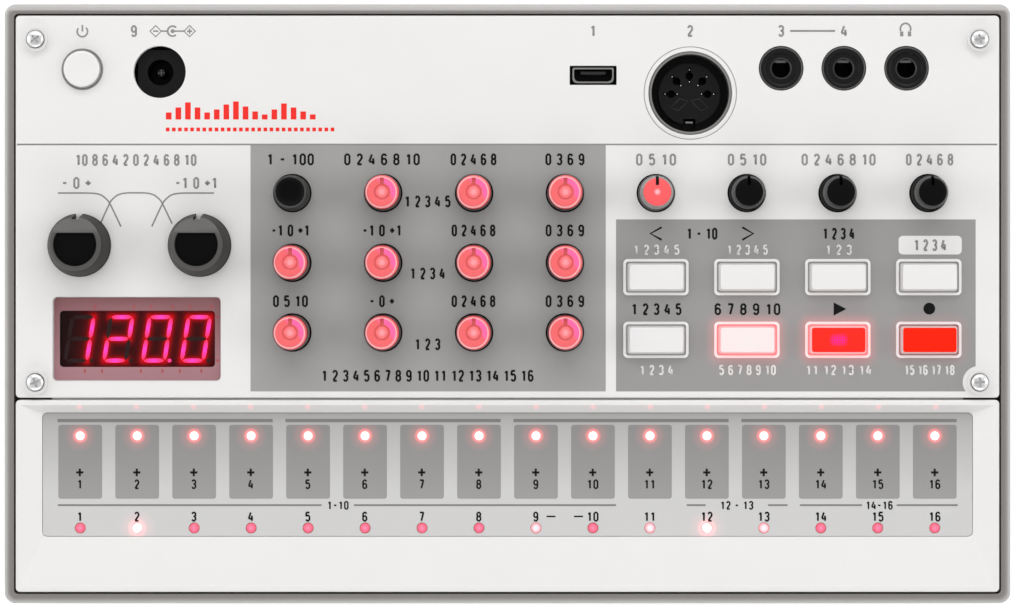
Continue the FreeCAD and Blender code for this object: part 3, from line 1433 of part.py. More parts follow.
def segment_outline(start, end, width, gap):
    """Six-sided bar between two points of the plane, pointed at both ends."""
    along = (end - start).normalize()
    across = FreeCAD.Vector(-along.y, along.x, 0) * (width / 2)
    first, last = start + along * gap, end - along * gap
    inner_first, inner_last = first + along * (width / 2), last - along * (width / 2)
    return [first, inner_first + across, inner_last + across, last, inner_last - across,
            inner_first - across]


def digit_segments():
    """Centre lines of the seven bars of one upright digit about its own centre."""
    half_width = (number("Size.digit_width") - number("Size.segment_width")) / 2
    half_height = (number("Size.digit_height") - number("Size.segment_width")) / 2
    left, right = -half_width, half_width
    corners = [(left, half_height), (right, half_height), (right, 0), (right, -half_height),
               (left, -half_height), (left, 0)]
    points = [FreeCAD.Vector(x, y, 0) for x, y in corners]
    pairs = [(0, 1), (1, 2), (2, 3), (4, 3), (5, 4), (0, 5), (5, 2)]
    return [(points[start], points[end]) for start, end in pairs]


def make_display_segments():
    """Bars of four slanted digits, each with its point, on the face of the module."""
    lean = math.tan(math.radians(number("Size.digit_slant")))
    width, gap = number("Size.segment_width"), number("Size.segment_gap")
    face = number("Level.module_top")
    up = FreeCAD.Vector(0, 0, number("Size.segment_thickness"))
    solids = []
    for digit in range(DIGIT_COUNT):
        shift = (digit - (DIGIT_COUNT - 1) / 2) * number("Size.digit_pitch")
        centre = FreeCAD.Vector(number("Level.window_x") + shift, number("Level.window_y"), face)
        for start, end in digit_segments():
            outline = segment_outline(start, end, width, gap / 2)
            leant = [centre + FreeCAD.Vector(point.x + lean * point.y, point.y, 0) for point in outline]
            solids.append(Part.Face(Part.makePolygon(leant + leant[:1])).extrude(up))
        low = -number("Size.digit_height") / 2 + width / 2
        side = number("Size.digit_width") / 2 + width / 2 + gap
        point = centre + FreeCAD.Vector(side + lean * low, low, 0)
        solids.append(Part.makeCylinder(width / 2, up.z, point))
    segments = DOC.addObject("Part::Feature", "display_segments")
    segments.Shape = Part.makeCompound(solids)
    keep(segments, "display_segments")


# Battery bay

def contact_tab_places():
    """Where the two terminal contacts pass through the roof of the bay."""
    for edge, side in (("Level.bay_left", 1), ("Level.bay_right", -1)):
        x = f"({edge} + {side} * (Size.contact_thickness / 2 + Size.fit_gap))"
        yield x, "Level.bay_y"


def make_battery_door():
    """Flush door with two tabs at its rear edge and finger ribs at the front."""
    body = new_body("battery_door")
    leaf = new_sketch(body, "door_leaf", "Size.foot_stand")
    length = "Size.bay_length - 2 * Size.door_gap"
    width = "Size.bay_width - 2 * Size.door_gap"
    draw_block(leaf, "Level.bay_x", "Level.bay_y", length, width)
    pad(body, leaf, "Size.door_thickness")
    tab_top = "Level.floor_top + Size.fit_gap + Size.door_tab_thickness"
    tabs = new_sketch(body, "door_tabs", tab_top)
    reach = "(Size.door_tab_root + Size.door_gap + Size.door_tab_reach)"
    middle = f"Level.bay_rear + Size.door_tab_reach - {reach} / 2"
    for x in door_tab_places():
        draw_block(tabs, x, middle, "Size.door_tab_width", reach)
    pad(body, tabs, "Size.door_tab_thickness", down=True)
    roots = new_sketch(body, "door_tab_roots", tab_top)
    root_y = "Level.bay_rear - Size.door_gap - Size.door_tab_root / 2"
    for x in door_tab_places():
        draw_block(roots, x, root_y, "Size.door_tab_width", "Size.door_tab_root")
    pad(body, roots, f"{tab_top} - Size.foot_stand - Size.door_thickness / 2", down=True)
    ribs = new_sketch(body, "grip_ribs", "Size.foot_stand")
    for index in range(1, 4):
        y = f"Level.bay_front + Size.door_gap + {index} * Size.grip_rib_pitch"
        draw_block(ribs, "Level.bay_x", y, "Size.grip_width", "Size.grip_rib_pitch / 2")
    pocket(body, ribs, "Size.grip_rib_depth", down=False)


def make_battery_contacts():
    """Six spring contacts, three at each end; the two terminals reach up to the main board."""
    contacts = []
    for side, edge in ((1, "Level.bay_left"), (-1, "Level.bay_right")):
        x = f"({edge} + {side} * (Size.contact_thickness / 2 + Size.fit_gap))"
        for row in (-1, 0, 1):
            name = f"contact_{side + 2}_{row + 2}"
            y = f"(Level.bay_y + {row} * Size.bay_width / 3)"
            low = "(Level.bay_under - Size.cell_room / 2 - Size.contact_height / 2)"
            plate = block(name + "_plate", x, y, low, "Size.contact_thickness", "Size.contact_width",
                          "Size.contact_height")
            nub = DOC.addObject("Part::Cone", name + "_nub")
            nub.setExpression("Radius1", "Size.contact_nub_radius")
            nub.setExpression("Radius2", "Size.contact_nub_radius / 2")
            nub.setExpression("Height", "Size.contact_nub_height + Size.contact_thickness / 2")
            nub.Placement.Rotation = FreeCAD.Rotation(FreeCAD.Vector(0, 1, 0), 90 * side)
            put(nub, x, y, "Level.bay_under - Size.cell_room / 2")
            pieces = [plate, nub]
            if row == 0:
                pieces.append(block(name + "_tab", x, y, "Level.bay_under - Size.cell_room / 2",
                                    "Size.contact_thickness", "Size.contact_tab_width",
                                    "Level.board_under - Level.bay_under + Size.cell_room / 2"))
            contacts.append(join(name, *pieces))
    group("battery_contacts", contacts)


# Speaker, its leads and the ribbon cable

def make_speaker():
    """Speaker facing the floor grille: basket with its magnet, and the cone."""
    frame = new_body("speaker_frame")
    put(frame, "Level.speaker_x", "Level.bay_y", "Level.floor_top")
    profile = new_sketch(frame, "basket_profile", role="XZ_Plane")
    opening = "(Size.speaker_radius - 2 * Size.speaker_sheet)"
    shoulder = "(Size.speaker_magnet_radius + 2 * Size.speaker_sheet)"
    magnet_top = "Size.speaker_basket_height + Size.speaker_magnet_height"
    draw_polygon(profile, [
        (opening, "0"),
        ("Size.speaker_radius", "0"),
        ("Size.speaker_radius", "Size.speaker_flange"),
        ("Size.speaker_radius - Size.speaker_sheet", "Size.speaker_flange"),
        (shoulder, "Size.speaker_basket_height"),
        ("Size.speaker_magnet_radius", "Size.speaker_basket_height"),
        ("Size.speaker_magnet_radius", magnet_top),
        ("0", magnet_top),
        ("0", "Size.speaker_basket_height - Size.speaker_sheet"),
        (f"{shoulder} - Size.speaker_sheet", "Size.speaker_basket_height - Size.speaker_sheet"),
        (opening, "Size.speaker_flange - Size.speaker_sheet / 2"),
    ])
    revolve(frame, profile)
    cone = new_body("speaker_cone")
    put(cone, "Level.speaker_x", "Level.bay_y", "Level.floor_top")
    sheet = new_sketch(cone, "cone_profile", role="XZ_Plane")
    neck = "(Size.speaker_basket_height - Size.speaker_sheet - Size.spin_gap)"
    cap = "(Size.speaker_basket_height / 2)"
    draw_polygon(sheet, [
        ("Size.cone_rim_radius", "Size.spin_gap"),
        ("Size.cone_rim_radius", "Size.spin_gap + Size.cone_thickness"),
        ("Size.cone_neck_radius", neck),
        ("0", f"{cap} + Size.cone_thickness"),
        ("0", cap),
        ("Size.cone_neck_radius", f"{neck} - Size.cone_thickness"),
    ])
    revolve(cone, sheet)


def make_speaker_leads():
    """Two short leads from the basket up to the main board, bent once each way."""
    low = number("Level.floor_top + Size.speaker_basket_height")
    high = number("Level.board_under")
    bend, run = number("Size.lead_bend"), number("Size.lead_run")
    start_x = number("Level.speaker_x - Size.speaker_magnet_radius - Size.speaker_sheet")
    middle = (low + high) / 2
    half = math.sqrt(0.5) * bend
    leads = []
    for side in (-1, 1):
        y = number("Level.bay_y") + side * number("Size.lead_spread") / 2
        route = [(0, low), (0, middle - bend), (bend - half, middle - bend + half), (bend, middle),
                 (bend + run, middle), (bend + run + half, middle + bend - half),
                 (2 * bend + run, middle + bend), (2 * bend + run, high)]
        spots = [FreeCAD.Vector(start_x - across, y, height) for across, height in route]
        edges = [
            Part.makeLine(spots[0], spots[1]),
            Part.Arc(*spots[1:4]).toShape(),
            Part.makeLine(spots[3], spots[4]),
            Part.Arc(*spots[4:7]).toShape(),
            Part.makeLine(spots[6], spots[7]),
        ]
        circle = Part.makeCircle(number("Size.lead_radius"), spots[0], FreeCAD.Vector(0, 0, 1))
        leads.append(Part.Wire(edges).makePipeShell([Part.Wire(circle)], True, False))
    feature = DOC.addObject("Part::Feature", "speaker_leads")
    feature.Shape = Part.makeCompound(leads)
    keep(feature, "speaker_leads")


def ribbon_side(spot, radius, high_near, high_far, low):
    """One face of the hanging loop: down, round and up again."""
    return [
        Part.makeLine(spot(radius, high_near), spot(radius, low)),
        Part.Arc(spot(radius, low), spot(0, low - radius), spot(-radius, low)).toShape(),
        Part.makeLine(spot(-radius, low), spot(-radius, high_far)),
    ]


def make_ribbon_cable():
    """Flat cable that hangs in a loop between the main board and the touch board."""
    near = number("Level.board_front + Size.board_front_gap / 2")
    far = number("Level.overlay_rear - Size.touch_board_rear")
    high_near, high_far = number("Level.board_under"), number("Level.touch_board_under")
    low = high_near - number("Size.ribbon_drop")
    left = number("Size.ribbon_centre_x - Size.ribbon_width / 2")
    half_sheet = number("Size.ribbon_thickness") / 2

    def spot(across, height):
        return FreeCAD.Vector(left, (near + far) / 2 + across, height)

    outer_radius = (near - far) / 2 + half_sheet
    inner_radius = (near - far) / 2 - half_sheet
    edges = ribbon_side(spot, outer_radius, high_near, high_far, low)
    edges += ribbon_side(spot, inner_radius, high_near, high_far, low)
    edges.append(Part.makeLine(spot(outer_radius, high_near), spot(inner_radius, high_near)))
    edges.append(Part.makeLine(spot(-outer_radius, high_far), spot(-inner_radius, high_far)))
    outline = Part.Wire(Part.__sortEdges__(edges))
    feature = DOC.addObject("Part::Feature", "ribbon_cable")
    feature.Shape = Part.Face(outline).extrude(FreeCAD.Vector(number("Size.ribbon_width"), 0, 0))
    keep(feature, "ribbon_cable")


def check_document():
    """Stop when any object failed or any sub-part has no valid shape."""
    for item in DOC.Objects:
        if "Invalid" in item.State or "Error" in item.State:
            raise RuntimeError(f"{item.Name} did not compute: {item.State}")
    for node in NODES:
        if node.Shape.isNull() or not node.Shape.isValid() or not node.Shape.Solids:
            raise RuntimeError(f"{node.Label} has no valid solid")


def write_parts():
    """One STEP file for each sub-part."""
    os.makedirs("parts", exist_ok=True)
    for node in NODES:
        node.Shape.exportStep(os.path.join("parts", node.Label + ".step"))
        print(f"{node.Label}: {len(node.Shape.Solids)} solids, {node.Shape.Volume:.1f} mm3")


fill_sheet()
make_lower_shell()
make_control_panel()
make_keyboard_frame()
make_touch_overlay()
make_keyboard_lamps()
make_touch_board()
make_main_board()
make_panel_screws()
make_case_screws()
make_board_screws()
make_rubber_feet()
make_small_knobs()
make_isolator_knobs()
make_isolator_shafts()
make_potentiometers()
make_indicator_lamps()
make_buttons()
make_power_button()
make_switches()
make_jack_sockets()
make_dc_socket()
make_usb_socket()
make_midi_socket()
make_display()
make_display_segments()
make_battery_door()
make_battery_contacts()
make_speaker()
make_speaker_leads()
make_ribbon_cable()
DOC.recompute()
check_document()
write_parts()
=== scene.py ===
import logging
import math
from collections.abc import Callable, Sequence
from dataclasses import dataclass
from enum import Enum
from functools import cache

import bmesh
import bpy
from mathutils import Matrix, Vector


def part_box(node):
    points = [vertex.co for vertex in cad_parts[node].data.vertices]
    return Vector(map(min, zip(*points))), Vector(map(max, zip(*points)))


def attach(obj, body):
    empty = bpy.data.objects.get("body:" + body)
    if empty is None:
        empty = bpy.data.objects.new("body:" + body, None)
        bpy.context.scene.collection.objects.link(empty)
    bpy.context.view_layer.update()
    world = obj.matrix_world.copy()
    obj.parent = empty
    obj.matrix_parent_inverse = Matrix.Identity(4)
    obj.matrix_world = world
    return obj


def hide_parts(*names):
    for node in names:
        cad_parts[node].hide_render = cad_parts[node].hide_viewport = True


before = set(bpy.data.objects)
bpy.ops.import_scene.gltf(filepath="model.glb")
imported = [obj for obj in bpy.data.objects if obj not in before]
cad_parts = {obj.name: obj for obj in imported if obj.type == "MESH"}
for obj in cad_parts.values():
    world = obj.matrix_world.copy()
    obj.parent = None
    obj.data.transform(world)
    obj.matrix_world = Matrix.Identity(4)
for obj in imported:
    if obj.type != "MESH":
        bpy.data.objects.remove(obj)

LOG = logging.getLogger("sequencer")
MM = 0.001
GRAIN_DEPTH = 0.03
DARK = (0.0, 0.0, 0.0)
Colour = tuple[float, float, float]
Ring = Spot = tuple[float, float]
Piece = bpy.types.Object
Socket = bpy.types.NodeSocket
Light = tuple[Socket | None, float]

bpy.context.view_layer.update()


# The hand moves that every sub-assembly shares. Sizes and places are in millimetres.

def clear() -> None:
    """Leave edit mode and deselect everything, the loaded CAD nodes among it."""
    if bpy.context.object is not None and bpy.context.object.mode != "OBJECT":
        bpy.ops.object.mode_set(mode="OBJECT")
    bpy.ops.object.select_all(action="DESELECT")


def pick(piece: Piece) -> None:
    """Make one piece the only selected and the active one.

    Args:
        piece: the piece to pick.
    """
    clear()
    piece.select_set(True)
    bpy.context.view_layer.objects.active = piece


def begin(name: str) -> Piece:
    """Name the primitive just added and open it for editing with all of it selected.

    Args:
        name: the piece's name.

    Returns:
        The piece, in edit mode.
    """
    piece = bpy.context.object
    piece.name = piece.data.name = name
    bpy.ops.object.mode_set(mode="EDIT")
    bpy.ops.mesh.select_all(action="SELECT")
    return piece


def close_up(piece: Piece) -> Piece:
    """Merge doubles, turn the faces outward and leave the piece at the origin.

    Args:
        piece: the piece, in edit mode.

    Returns:
        The same piece, in object mode.
    """
    bpy.ops.mesh.select_all(action="SELECT")
    bpy.ops.mesh.remove_doubles(threshold=0.001 * MM)
    bpy.ops.mesh.normals_make_consistent(inside=False)
    bpy.ops.object.mode_set(mode="OBJECT")
    bpy.ops.object.transform_apply(location=True, rotation=True, scale=True)
    return piece


def lift(rise: float) -> None:
    """Extrude what is selected upward."""
    bpy.ops.mesh.extrude_region_move(TRANSFORM_OT_translate={"value": (0, 0, rise * MM)})


def stretch(across: float, along: float) -> None:
    """Scale what is selected about the world's vertical axis."""
    bpy.ops.transform.resize(value=(across, along, 1), center_override=(0, 0, 0))


def turned(name: str, rings: Sequence[Ring], sides: int = 64, bored: bool = False) -> Piece:
    """Raise a closed round piece about the vertical axis from a circle.

    Args:
        name: the piece's name.
        rings: radius and height of each ring from the bottom face to the top one, or once round the
            wall's outline when it is bored; radius 0 closes the pole.
        sides: corners round each ring.
        bored: True to leave the middle open and bridge the last ring back to the first.

    Returns:
        The closed piece, about the world origin.
    """
    clear()
    radius, height = rings[0]
    bpy.ops.mesh.primitive_circle_add(
        vertices=sides, radius=radius * MM, fill_type="NOTHING" if bored else "NGON",
        location=(0, 0, height * MM))
    piece = begin(name)
    for next_radius, next_height in rings[1:]:
        lift(next_height - height)
        if next_radius == 0:
            bpy.ops.mesh.merge(type="CENTER")
            break
        stretch(next_radius / radius, next_radius / radius)
        radius, height = next_radius, next_height
    if bored:
        bpy.ops.mesh.select_all(action="DESELECT")
        bpy.ops.mesh.select_non_manifold()
        bpy.ops.mesh.bridge_edge_loops()
    return close_up(piece)


def slab(name: str, size: Spot, corner: float, levels: Sequence[Ring], segments: int = 4) -> Piece:
    """Raise a closed plate with rounded corners through inset and height pairs.

    Args:
        name: the piece's name.
        size: width and depth before any inset.
        corner: corner radius.
        levels: inset and height of each outline, from the bottom face to the top one.
        segments: edges in each corner.

    Returns:
        The closed plate, centred on the world's vertical axis.
    """
    clear()
    inset, height = levels[0]
    bpy.ops.mesh.primitive_plane_add(size=MM, location=(0, 0, height * MM))
    piece = begin(name)
    width, depth = size[0] - 2 * inset, size[1] - 2 * inset
    stretch(width, depth)
    if corner > 0:
        bpy.ops.mesh.bevel(offset=corner * MM, segments=segments, affect="VERTICES")
    bpy.ops.mesh.select_all(action="SELECT")
    for inset, next_height in levels[1:]:
        lift(next_height - height)
        new_width, new_depth = size[0] - 2 * inset, size[1] - 2 * inset
        stretch(new_width / width, new_depth / depth)
        width, depth, height = new_width, new_depth, next_height
    return close_up(piece)


def grid_plate(name: str, size: Spot, cells: tuple[int, int], thickness: float) -> Piece:
    """Raise a plate from a divided sheet on the floor, and leave it open for editing.

    Args:
        name: the piece's name.
        size: width and depth.
        cells: how many cells it has across and along.
        thickness: its thickness.

    Returns:
        The plate, in edit mode.
    """
    clear()
    bpy.ops.mesh.primitive_grid_add(x_subdivisions=cells[0], y_subdivisions=cells[1], size=MM)
    piece = begin(name)
    stretch(*size)
    lift(thickness)
    return piece


def move(piece: Piece, x: float, y: float, z: float = 0, turn: float = 0) -> Piece:
    """Turn a piece's mesh about its vertical axis and carry it to a place.

    Args:
        piece: the piece.
        x: place across.
        y: place along.
        z: rise.
        turn: turn in degrees.

    Returns:
        The same piece.
    """
    place = Matrix.Translation((x * MM, y * MM, z * MM))
    piece.data.transform(place @ Matrix.Rotation(math.radians(turn), 4, "Z"))
    return piece


def twin(piece: Piece, name: str, x: float, y: float, z: float = 0, turn: float = 0) -> Piece:
    """Copy a modelled piece with a mesh of its own and carry the copy to a place.

    Args:
        piece: the model.
        name: the copy's name.
        x: place across.
        y: place along.
        z: rise.
        turn: turn in degrees.

    Returns:
        The copy.
    """
    other = piece.copy()
    other.data = piece.data.copy()
    other.name = other.data.name = name
    bpy.context.scene.collection.objects.link(other)
    return move(other, x, y, z, turn)


def put_away(*models: Piece) -> None:
    """Remove models that have been copied to all their places."""
    for model in models:
        bpy.data.objects.remove(model)


def carve(piece: Piece, *tools: Piece, how: str = "DIFFERENCE") -> Piece:
    """Cut a piece with other closed pieces, which are used up.

    Args:
        piece: the piece that is cut.
        tools: the closed pieces that cut it.
        how: DIFFERENCE, UNION or INTERSECT.

    Returns:
        The piece that was cut.
    """
    for tool in tools:
        cut = piece.modifiers.new("cut", "BOOLEAN")
        cut.operation, cut.solver, cut.object = how, "EXACT", tool
        pick(piece)
        bpy.ops.object.modifier_apply(modifier=cut.name)
        put_away(tool)
    return piece


def drill(piece: Piece, radius: float, x: float, y: float, z: float = 0, sides: int = 64) -> None:
    """Cut a round hole through a thin piece that lies at a height."""
    carve(piece, move(turned("hole", [(radius, -1), (radius, 1)], sides), x, y, z))


def cross_cut(piece: Piece, size: Spot, corner: float, levels: Sequence[Ring]) -> None:
    """Cut a cross of two equal slabs into a piece, about the vertical axis."""
    for turn in (0, 90):
        carve(piece, move(slab("wing", size, corner, levels, 2), 0, 0, 0, turn))


def cut_away(piece: Piece, point: Sequence[float], normal: Sequence[float]) -> None:
    """Take off what lies beyond a plane, and close the cut.

    Args:
        piece: the piece that is cut.
        point: a point of the plane, in millimetres.
        normal: the plane's normal, towards what is taken off.
    """
    pick(piece)
    bpy.ops.object.mode_set(mode="EDIT")
    bpy.ops.mesh.select_all(action="SELECT")
    bpy.ops.mesh.bisect(
        plane_co=[value * MM for value in point], plane_no=normal, use_fill=True, clear_outer=True)
    bpy.ops.object.mode_set(mode="OBJECT")


def smooth(piece: Piece, angle: float = 35) -> Piece:
    """Shade a piece smooth except over its sharp edges.

    Args:
        piece: the piece.
        angle: the angle in degrees from which an edge stays sharp.

    Returns:
        The same piece.
    """
    pick(piece)
    bpy.ops.object.shade_smooth_by_angle(angle=math.radians(angle))
    return piece


def join(name: str, pieces: Sequence[Piece]) -> Piece:
    """Join pieces into one object.

    Args:
        name: the name of the whole.
        pieces: the pieces, which are used up.

    Returns:
        The whole.
    """
    pick(pieces[0])
    for piece in pieces[1:]:
        piece.select_set(True)
    if len(pieces) > 1:
        bpy.ops.object.join()
    pieces[0].name = pieces[0].data.name = name
    return pieces[0]


def paint(piece: Piece, index: int, wanted: Callable[[Vector, Vector], bool]) -> None:
    """Give the faces that a test picks another material.

    Args:
        piece: the piece.
        index: the material's place among the piece's slots.
        wanted: the test, given a face's middle in millimetres and its normal.
    """
    for face in piece.data.polygons:
        if wanted(face.center / MM, face.normal):
            face.material_index = index


def mark_where(piece: Piece, wanted: Callable[[Vector], bool]) -> None:
    """Select only the corners that a test picks.

    Args:
        piece: the piece, in edit mode.
        wanted: the test, given a corner's place.
    """
    bpy.ops.mesh.select_mode(type="VERT")
    bpy.ops.mesh.select_all(action="DESELECT")
    mesh = bmesh.from_edit_mesh(piece.data)
    for corner in mesh.verts:
        corner.select = wanted(corner.co)
    mesh.select_flush(True)
    bmesh.update_edit_mesh(piece.data)


def scale_where(piece: Piece, ratio: float, wanted: Callable[[Vector], bool]) -> None:
    """Scale the corners that a test picks towards the vertical axis.

    Args:
        piece: the piece.
        ratio: how much of their distance is left.
        wanted: the test, given a corner's place.
    """
    pick(piece)
    bpy.ops.object.mode_set(mode="EDIT")
    mark_where(piece, wanted)
    stretch(ratio, ratio)
    bpy.ops.object.mode_set(mode="OBJECT")


def fit(piece: Piece, slot: str, *finishes: "Finish", body: str = "case", nodes: Sequence[str] = ()) -> None:
    """Give a finished piece its materials, its CAD body and the nodes that it stands for.

    Args:
        piece: the piece, in place.
        slot: the record's material slot that its finish belongs to; not used.
        finishes: its materials, in the order of its slots.
        body: the CAD body that it moves with.
        nodes: the CAD nodes that it stands for.
    """
    for index, finish in enumerate(finishes):
        if index < len(piece.data.materials):
            piece.data.materials[index] = finish.material()
        else:
            piece.data.materials.append(finish.material())
    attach(piece, body)
    if nodes:
        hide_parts(*nodes)
    LOG.info("%s rides on %s", piece.name, body)


def node_box(node: str) -> tuple[Vector, Vector, Vector]:
    """The low corner, the high corner and the middle of a CAD node's box, in millimetres."""
    low, high = (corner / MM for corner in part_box(node))
    return low, high, (low + high) / 2


def stand_in(model: Piece, node: str, slot: str, *finishes: "Finish", body: str = "") -> None:
    """Copy a modelled cap to its node's axis, where it takes the node's place.

    Args:
        model: the cap, about the world's vertical axis.
        node: the CAD node that the copy stands for.
        slot: the record's material slot.
        finishes: its materials, in the order of its slots.
        body: the CAD body that it moves with, where that isn't named as the node is.
    """
    x, y = node_box(node)[2].xy
    fit(twin(model, node + "_cap", x, y), slot, *finishes, body=body or node, nodes=[node])


class Tree:
    """A node tree and the short moves that fill it."""

    def __init__(self, nodes: bpy.types.NodeTree) -> None:
        """Take the tree to fill."""
        self.tree = nodes

    def add(self, kind: str, inputs: dict[int | str, object] | None = None,
            **settings: object) -> bpy.types.Node:
        """Add a node, set its properties, and set or link its inputs.

        Args:
            kind: the node's type without the ShaderNode prefix.
            inputs: what each input gets, a value or another node's output.
            settings: properties of the node.

        Returns:
            The node.
        """
        node = self.tree.nodes.new("ShaderNode" + kind)
        for key, value in settings.items():
            setattr(node, key, value)
        for key, value in (inputs or {}).items():
            self.feed(node.inputs[key], value)
        return node

    def feed(self, socket: Socket, value: object) -> None:
        """Link a socket to another node's output, or give it a plain value.

        Args:
            socket: the input.
            value: the output or the value.
        """
        if isinstance(value, Socket):
            self.tree.links.new(value, socket)
        else:
            socket.default_value = value

    def axes(self) -> bpy.types.NodeOutputs:
        """The X, Y and Z of a place in object coordinates."""
        return self.add("SeparateXYZ", {0: self.add("TexCoord").outputs["Object"]}).outputs

    def seen(self) -> Socket:
        """Tell what the camera sees, also in a mirror or through glass, from what only lights.

        Returns:
            1 for what is seen, and otherwise 0.
        """
        path = self.add("LightPath").outputs
        direct = self.math("MAXIMUM", path["Is Camera Ray"], path["Is Glossy Ray"])
        return self.math("MAXIMUM", direct, path["Is Transmission Ray"])

    def math(self, operation: str, *values: object) -> Socket:
        """Add a Math node and give its result."""
        return self.add("Math", dict(enumerate(values)), operation=operation).outputs[0]

    def mix(self, share: object, first: object, second: object, blend: str = "MIX") -> Socket:
        """Mix two colours.

        Args:
            share: how much of the second there is.
            first: the first colour.
            second: the second colour.
            blend: how the second is laid over the first.

        Returns:
            The mixed colour.
        """
        node = self.add("Mix", data_type="RGBA", blend_type=blend, clamp_factor=True)
        self.feed(node.inputs[0], share)
        for key, value in ((6, first), (7, second)):
            self.feed(node.inputs[key], value if isinstance(value, Socket) else (*value, 1.0))
        return node.outputs[2]

    def fade(self, value: object, low: float, high: float, to_low: float = 0, to_high: float = 1) -> Socket:
        """Carry a value smoothly from one range to another."""
        limits = {0: value, 1: low, 2: high, 3: to_low, 4: to_high}
        return self.add("MapRange", limits, interpolation_type="SMOOTHSTEP").outputs[0]

    def close_group(self, **results: Socket) -> bpy.types.NodeTree:
        """Hand results to a group's outputs.

        Args:
            results: the value of each output, by name.

        Returns:
            The group.
        """
        for label, result in results.items():
            self.tree.links.new(result, self.tree.nodes["Group Output"].inputs[label])
        return self.tree


def beyond(tree: Tree, across: object, along: object, half: Spot) -> Socket:
    """Measure how far a place lies outside a rectangle about the middle.

    Args:
        tree: the tree to fill.
        across: the place across.
        along: the place along.
        half: the rectangle's half sizes.

    Returns:
        The distance.
    """
    squares = []
    for value, reach in zip((across, along), half):
        over = tree.math("MAXIMUM", tree.math("SUBTRACT", tree.math("ABSOLUTE", value), reach), 0.0)
        squares.append(tree.math("MULTIPLY", over, over))
    return tree.math("SQRT", tree.math("ADD", *squares))


def open_group(name: str, inputs: Sequence[str], outputs: Sequence[str]) -> Tree:
    """Start a shader node group: a socket named Colour is a colour and any other a plain number.

    Args:
        name: the group's name.
        inputs: the names of its inputs.
        outputs: the names of its outputs.

    Returns:
        The group's tree to fill.
    """
    group = bpy.data.node_groups.new(name, "ShaderNodeTree")
    for side, labels in (("Input", inputs), ("Output", outputs)):
        for label in labels:
            kind = "NodeSocketColor" if label == "Colour" else "NodeSocketFloat"
            group.interface.new_socket(name=label, in_out=side.upper(), socket_type=kind)
        group.nodes.new("NodeGroup" + side)
    return Tree(group)


@cache
def grain_group() -> bpy.types.NodeTree:
    """The fine texture, mottle and uneven gloss that moulded and plated surfaces share.

    Returns:
        The group, the same one on every call.
    """
    tree = open_group("moulded_grain", ("Colour", "Mottle", "Fineness", "Roughness", "Unevenness"),
                      ("Colour", "Roughness", "Height"))
    given = tree.tree.nodes["Group Input"].outputs
    spot = tree.add("TexCoord").outputs["Object"]
    fine = tree.add("TexNoise", {"Vector": spot, "Scale": given["Fineness"], "Detail": 2.0}).outputs[0]
    broad = tree.add("TexNoise", {"Vector": spot, "Scale": 90.0, "Detail": 3.0}).outputs[0]
    shift = tree.math("SUBTRACT", broad, 0.5)
    fleck = tree.math("MULTIPLY", tree.math("SUBTRACT", fine, 0.5), 0.6)
    swing = tree.math("MULTIPLY", tree.math("ADD", shift, fleck), given["Mottle"])
    tone = tree.mix(1.0, given["Colour"], tree.math("ADD", swing, 1.0), "MULTIPLY")
    gloss = tree.math("MULTIPLY_ADD", shift, given["Unevenness"], given["Roughness"])
    return tree.close_group(Colour=tone, Roughness=gloss, Height=fine)


@cache
def cell_group() -> bpy.types.NodeTree:
    """Where a point lies about the nearest place of a regular grid, in millimetres.

    Returns:
        The group, the same one on every call.
    """
    tree = open_group("grid_place", ("Pitch X", "Pitch Y", "Origin X", "Origin Y"),
                      ("Across", "Along", "Radius"))
    given = tree.tree.nodes["Group Input"].outputs
    axes = tree.axes()
    places = []
    for axis in "XY":
        back = tree.math("MULTIPLY", given["Origin " + axis], -1.0)
        half = tree.math("MULTIPLY", given["Pitch " + axis], 0.5)
        length = tree.math("MULTIPLY_ADD", axes[axis], 1 / MM, back)
        places.append(tree.math("WRAP", length, half, tree.math("MULTIPLY", half, -1.0)))
    across, along = places
    square = tree.math("MULTIPLY_ADD", across, across, tree.math("MULTIPLY", along, along))
    return tree.close_group(Across=across, Along=along, Radius=tree.math("SQRT", square))


@dataclass(frozen=True)
class Grid:
    """A regular grid of places, in millimetres."""

    origin: Spot
    pitch: Spot

    def node(self, tree: Tree) -> bpy.types.NodeOutputs:
        """Place the grid's node group in a material and give its outputs."""
        values = zip(("Pitch X", "Pitch Y", "Origin X", "Origin Y"), (*self.pitch, *self.origin))
        return tree.add("Group", dict(values), node_tree=cell_group()).outputs


@dataclass(frozen=True)
class Finish:
    """A moulded, printed or plated surface: colour, gloss and fine texture, or plain if without mottle."""

    name: str
    colour: Colour
    roughness: float = 0.45
    metallic: float = 0.0
    grain: float = 0.1
    fineness: float = 3500.0
    mottle: float = 0.05
    unevenness: float = 0.12
    coat: float = 0.0
    alpha: float = 1.0
    specular: float = 0.5
    shine: Colour = DARK

    def glow(self, tree: Tree) -> Light:
        """What the surface shines with: nothing here."""
        return None, 0.0

    def tint(self, tree: Tree) -> object:
        """The colour before the grain is laid over it."""
        return (*self.colour, 1.0)

    def material(self) -> bpy.types.Material:
        """The Blender material of this finish, built once."""
        return build_material(self)


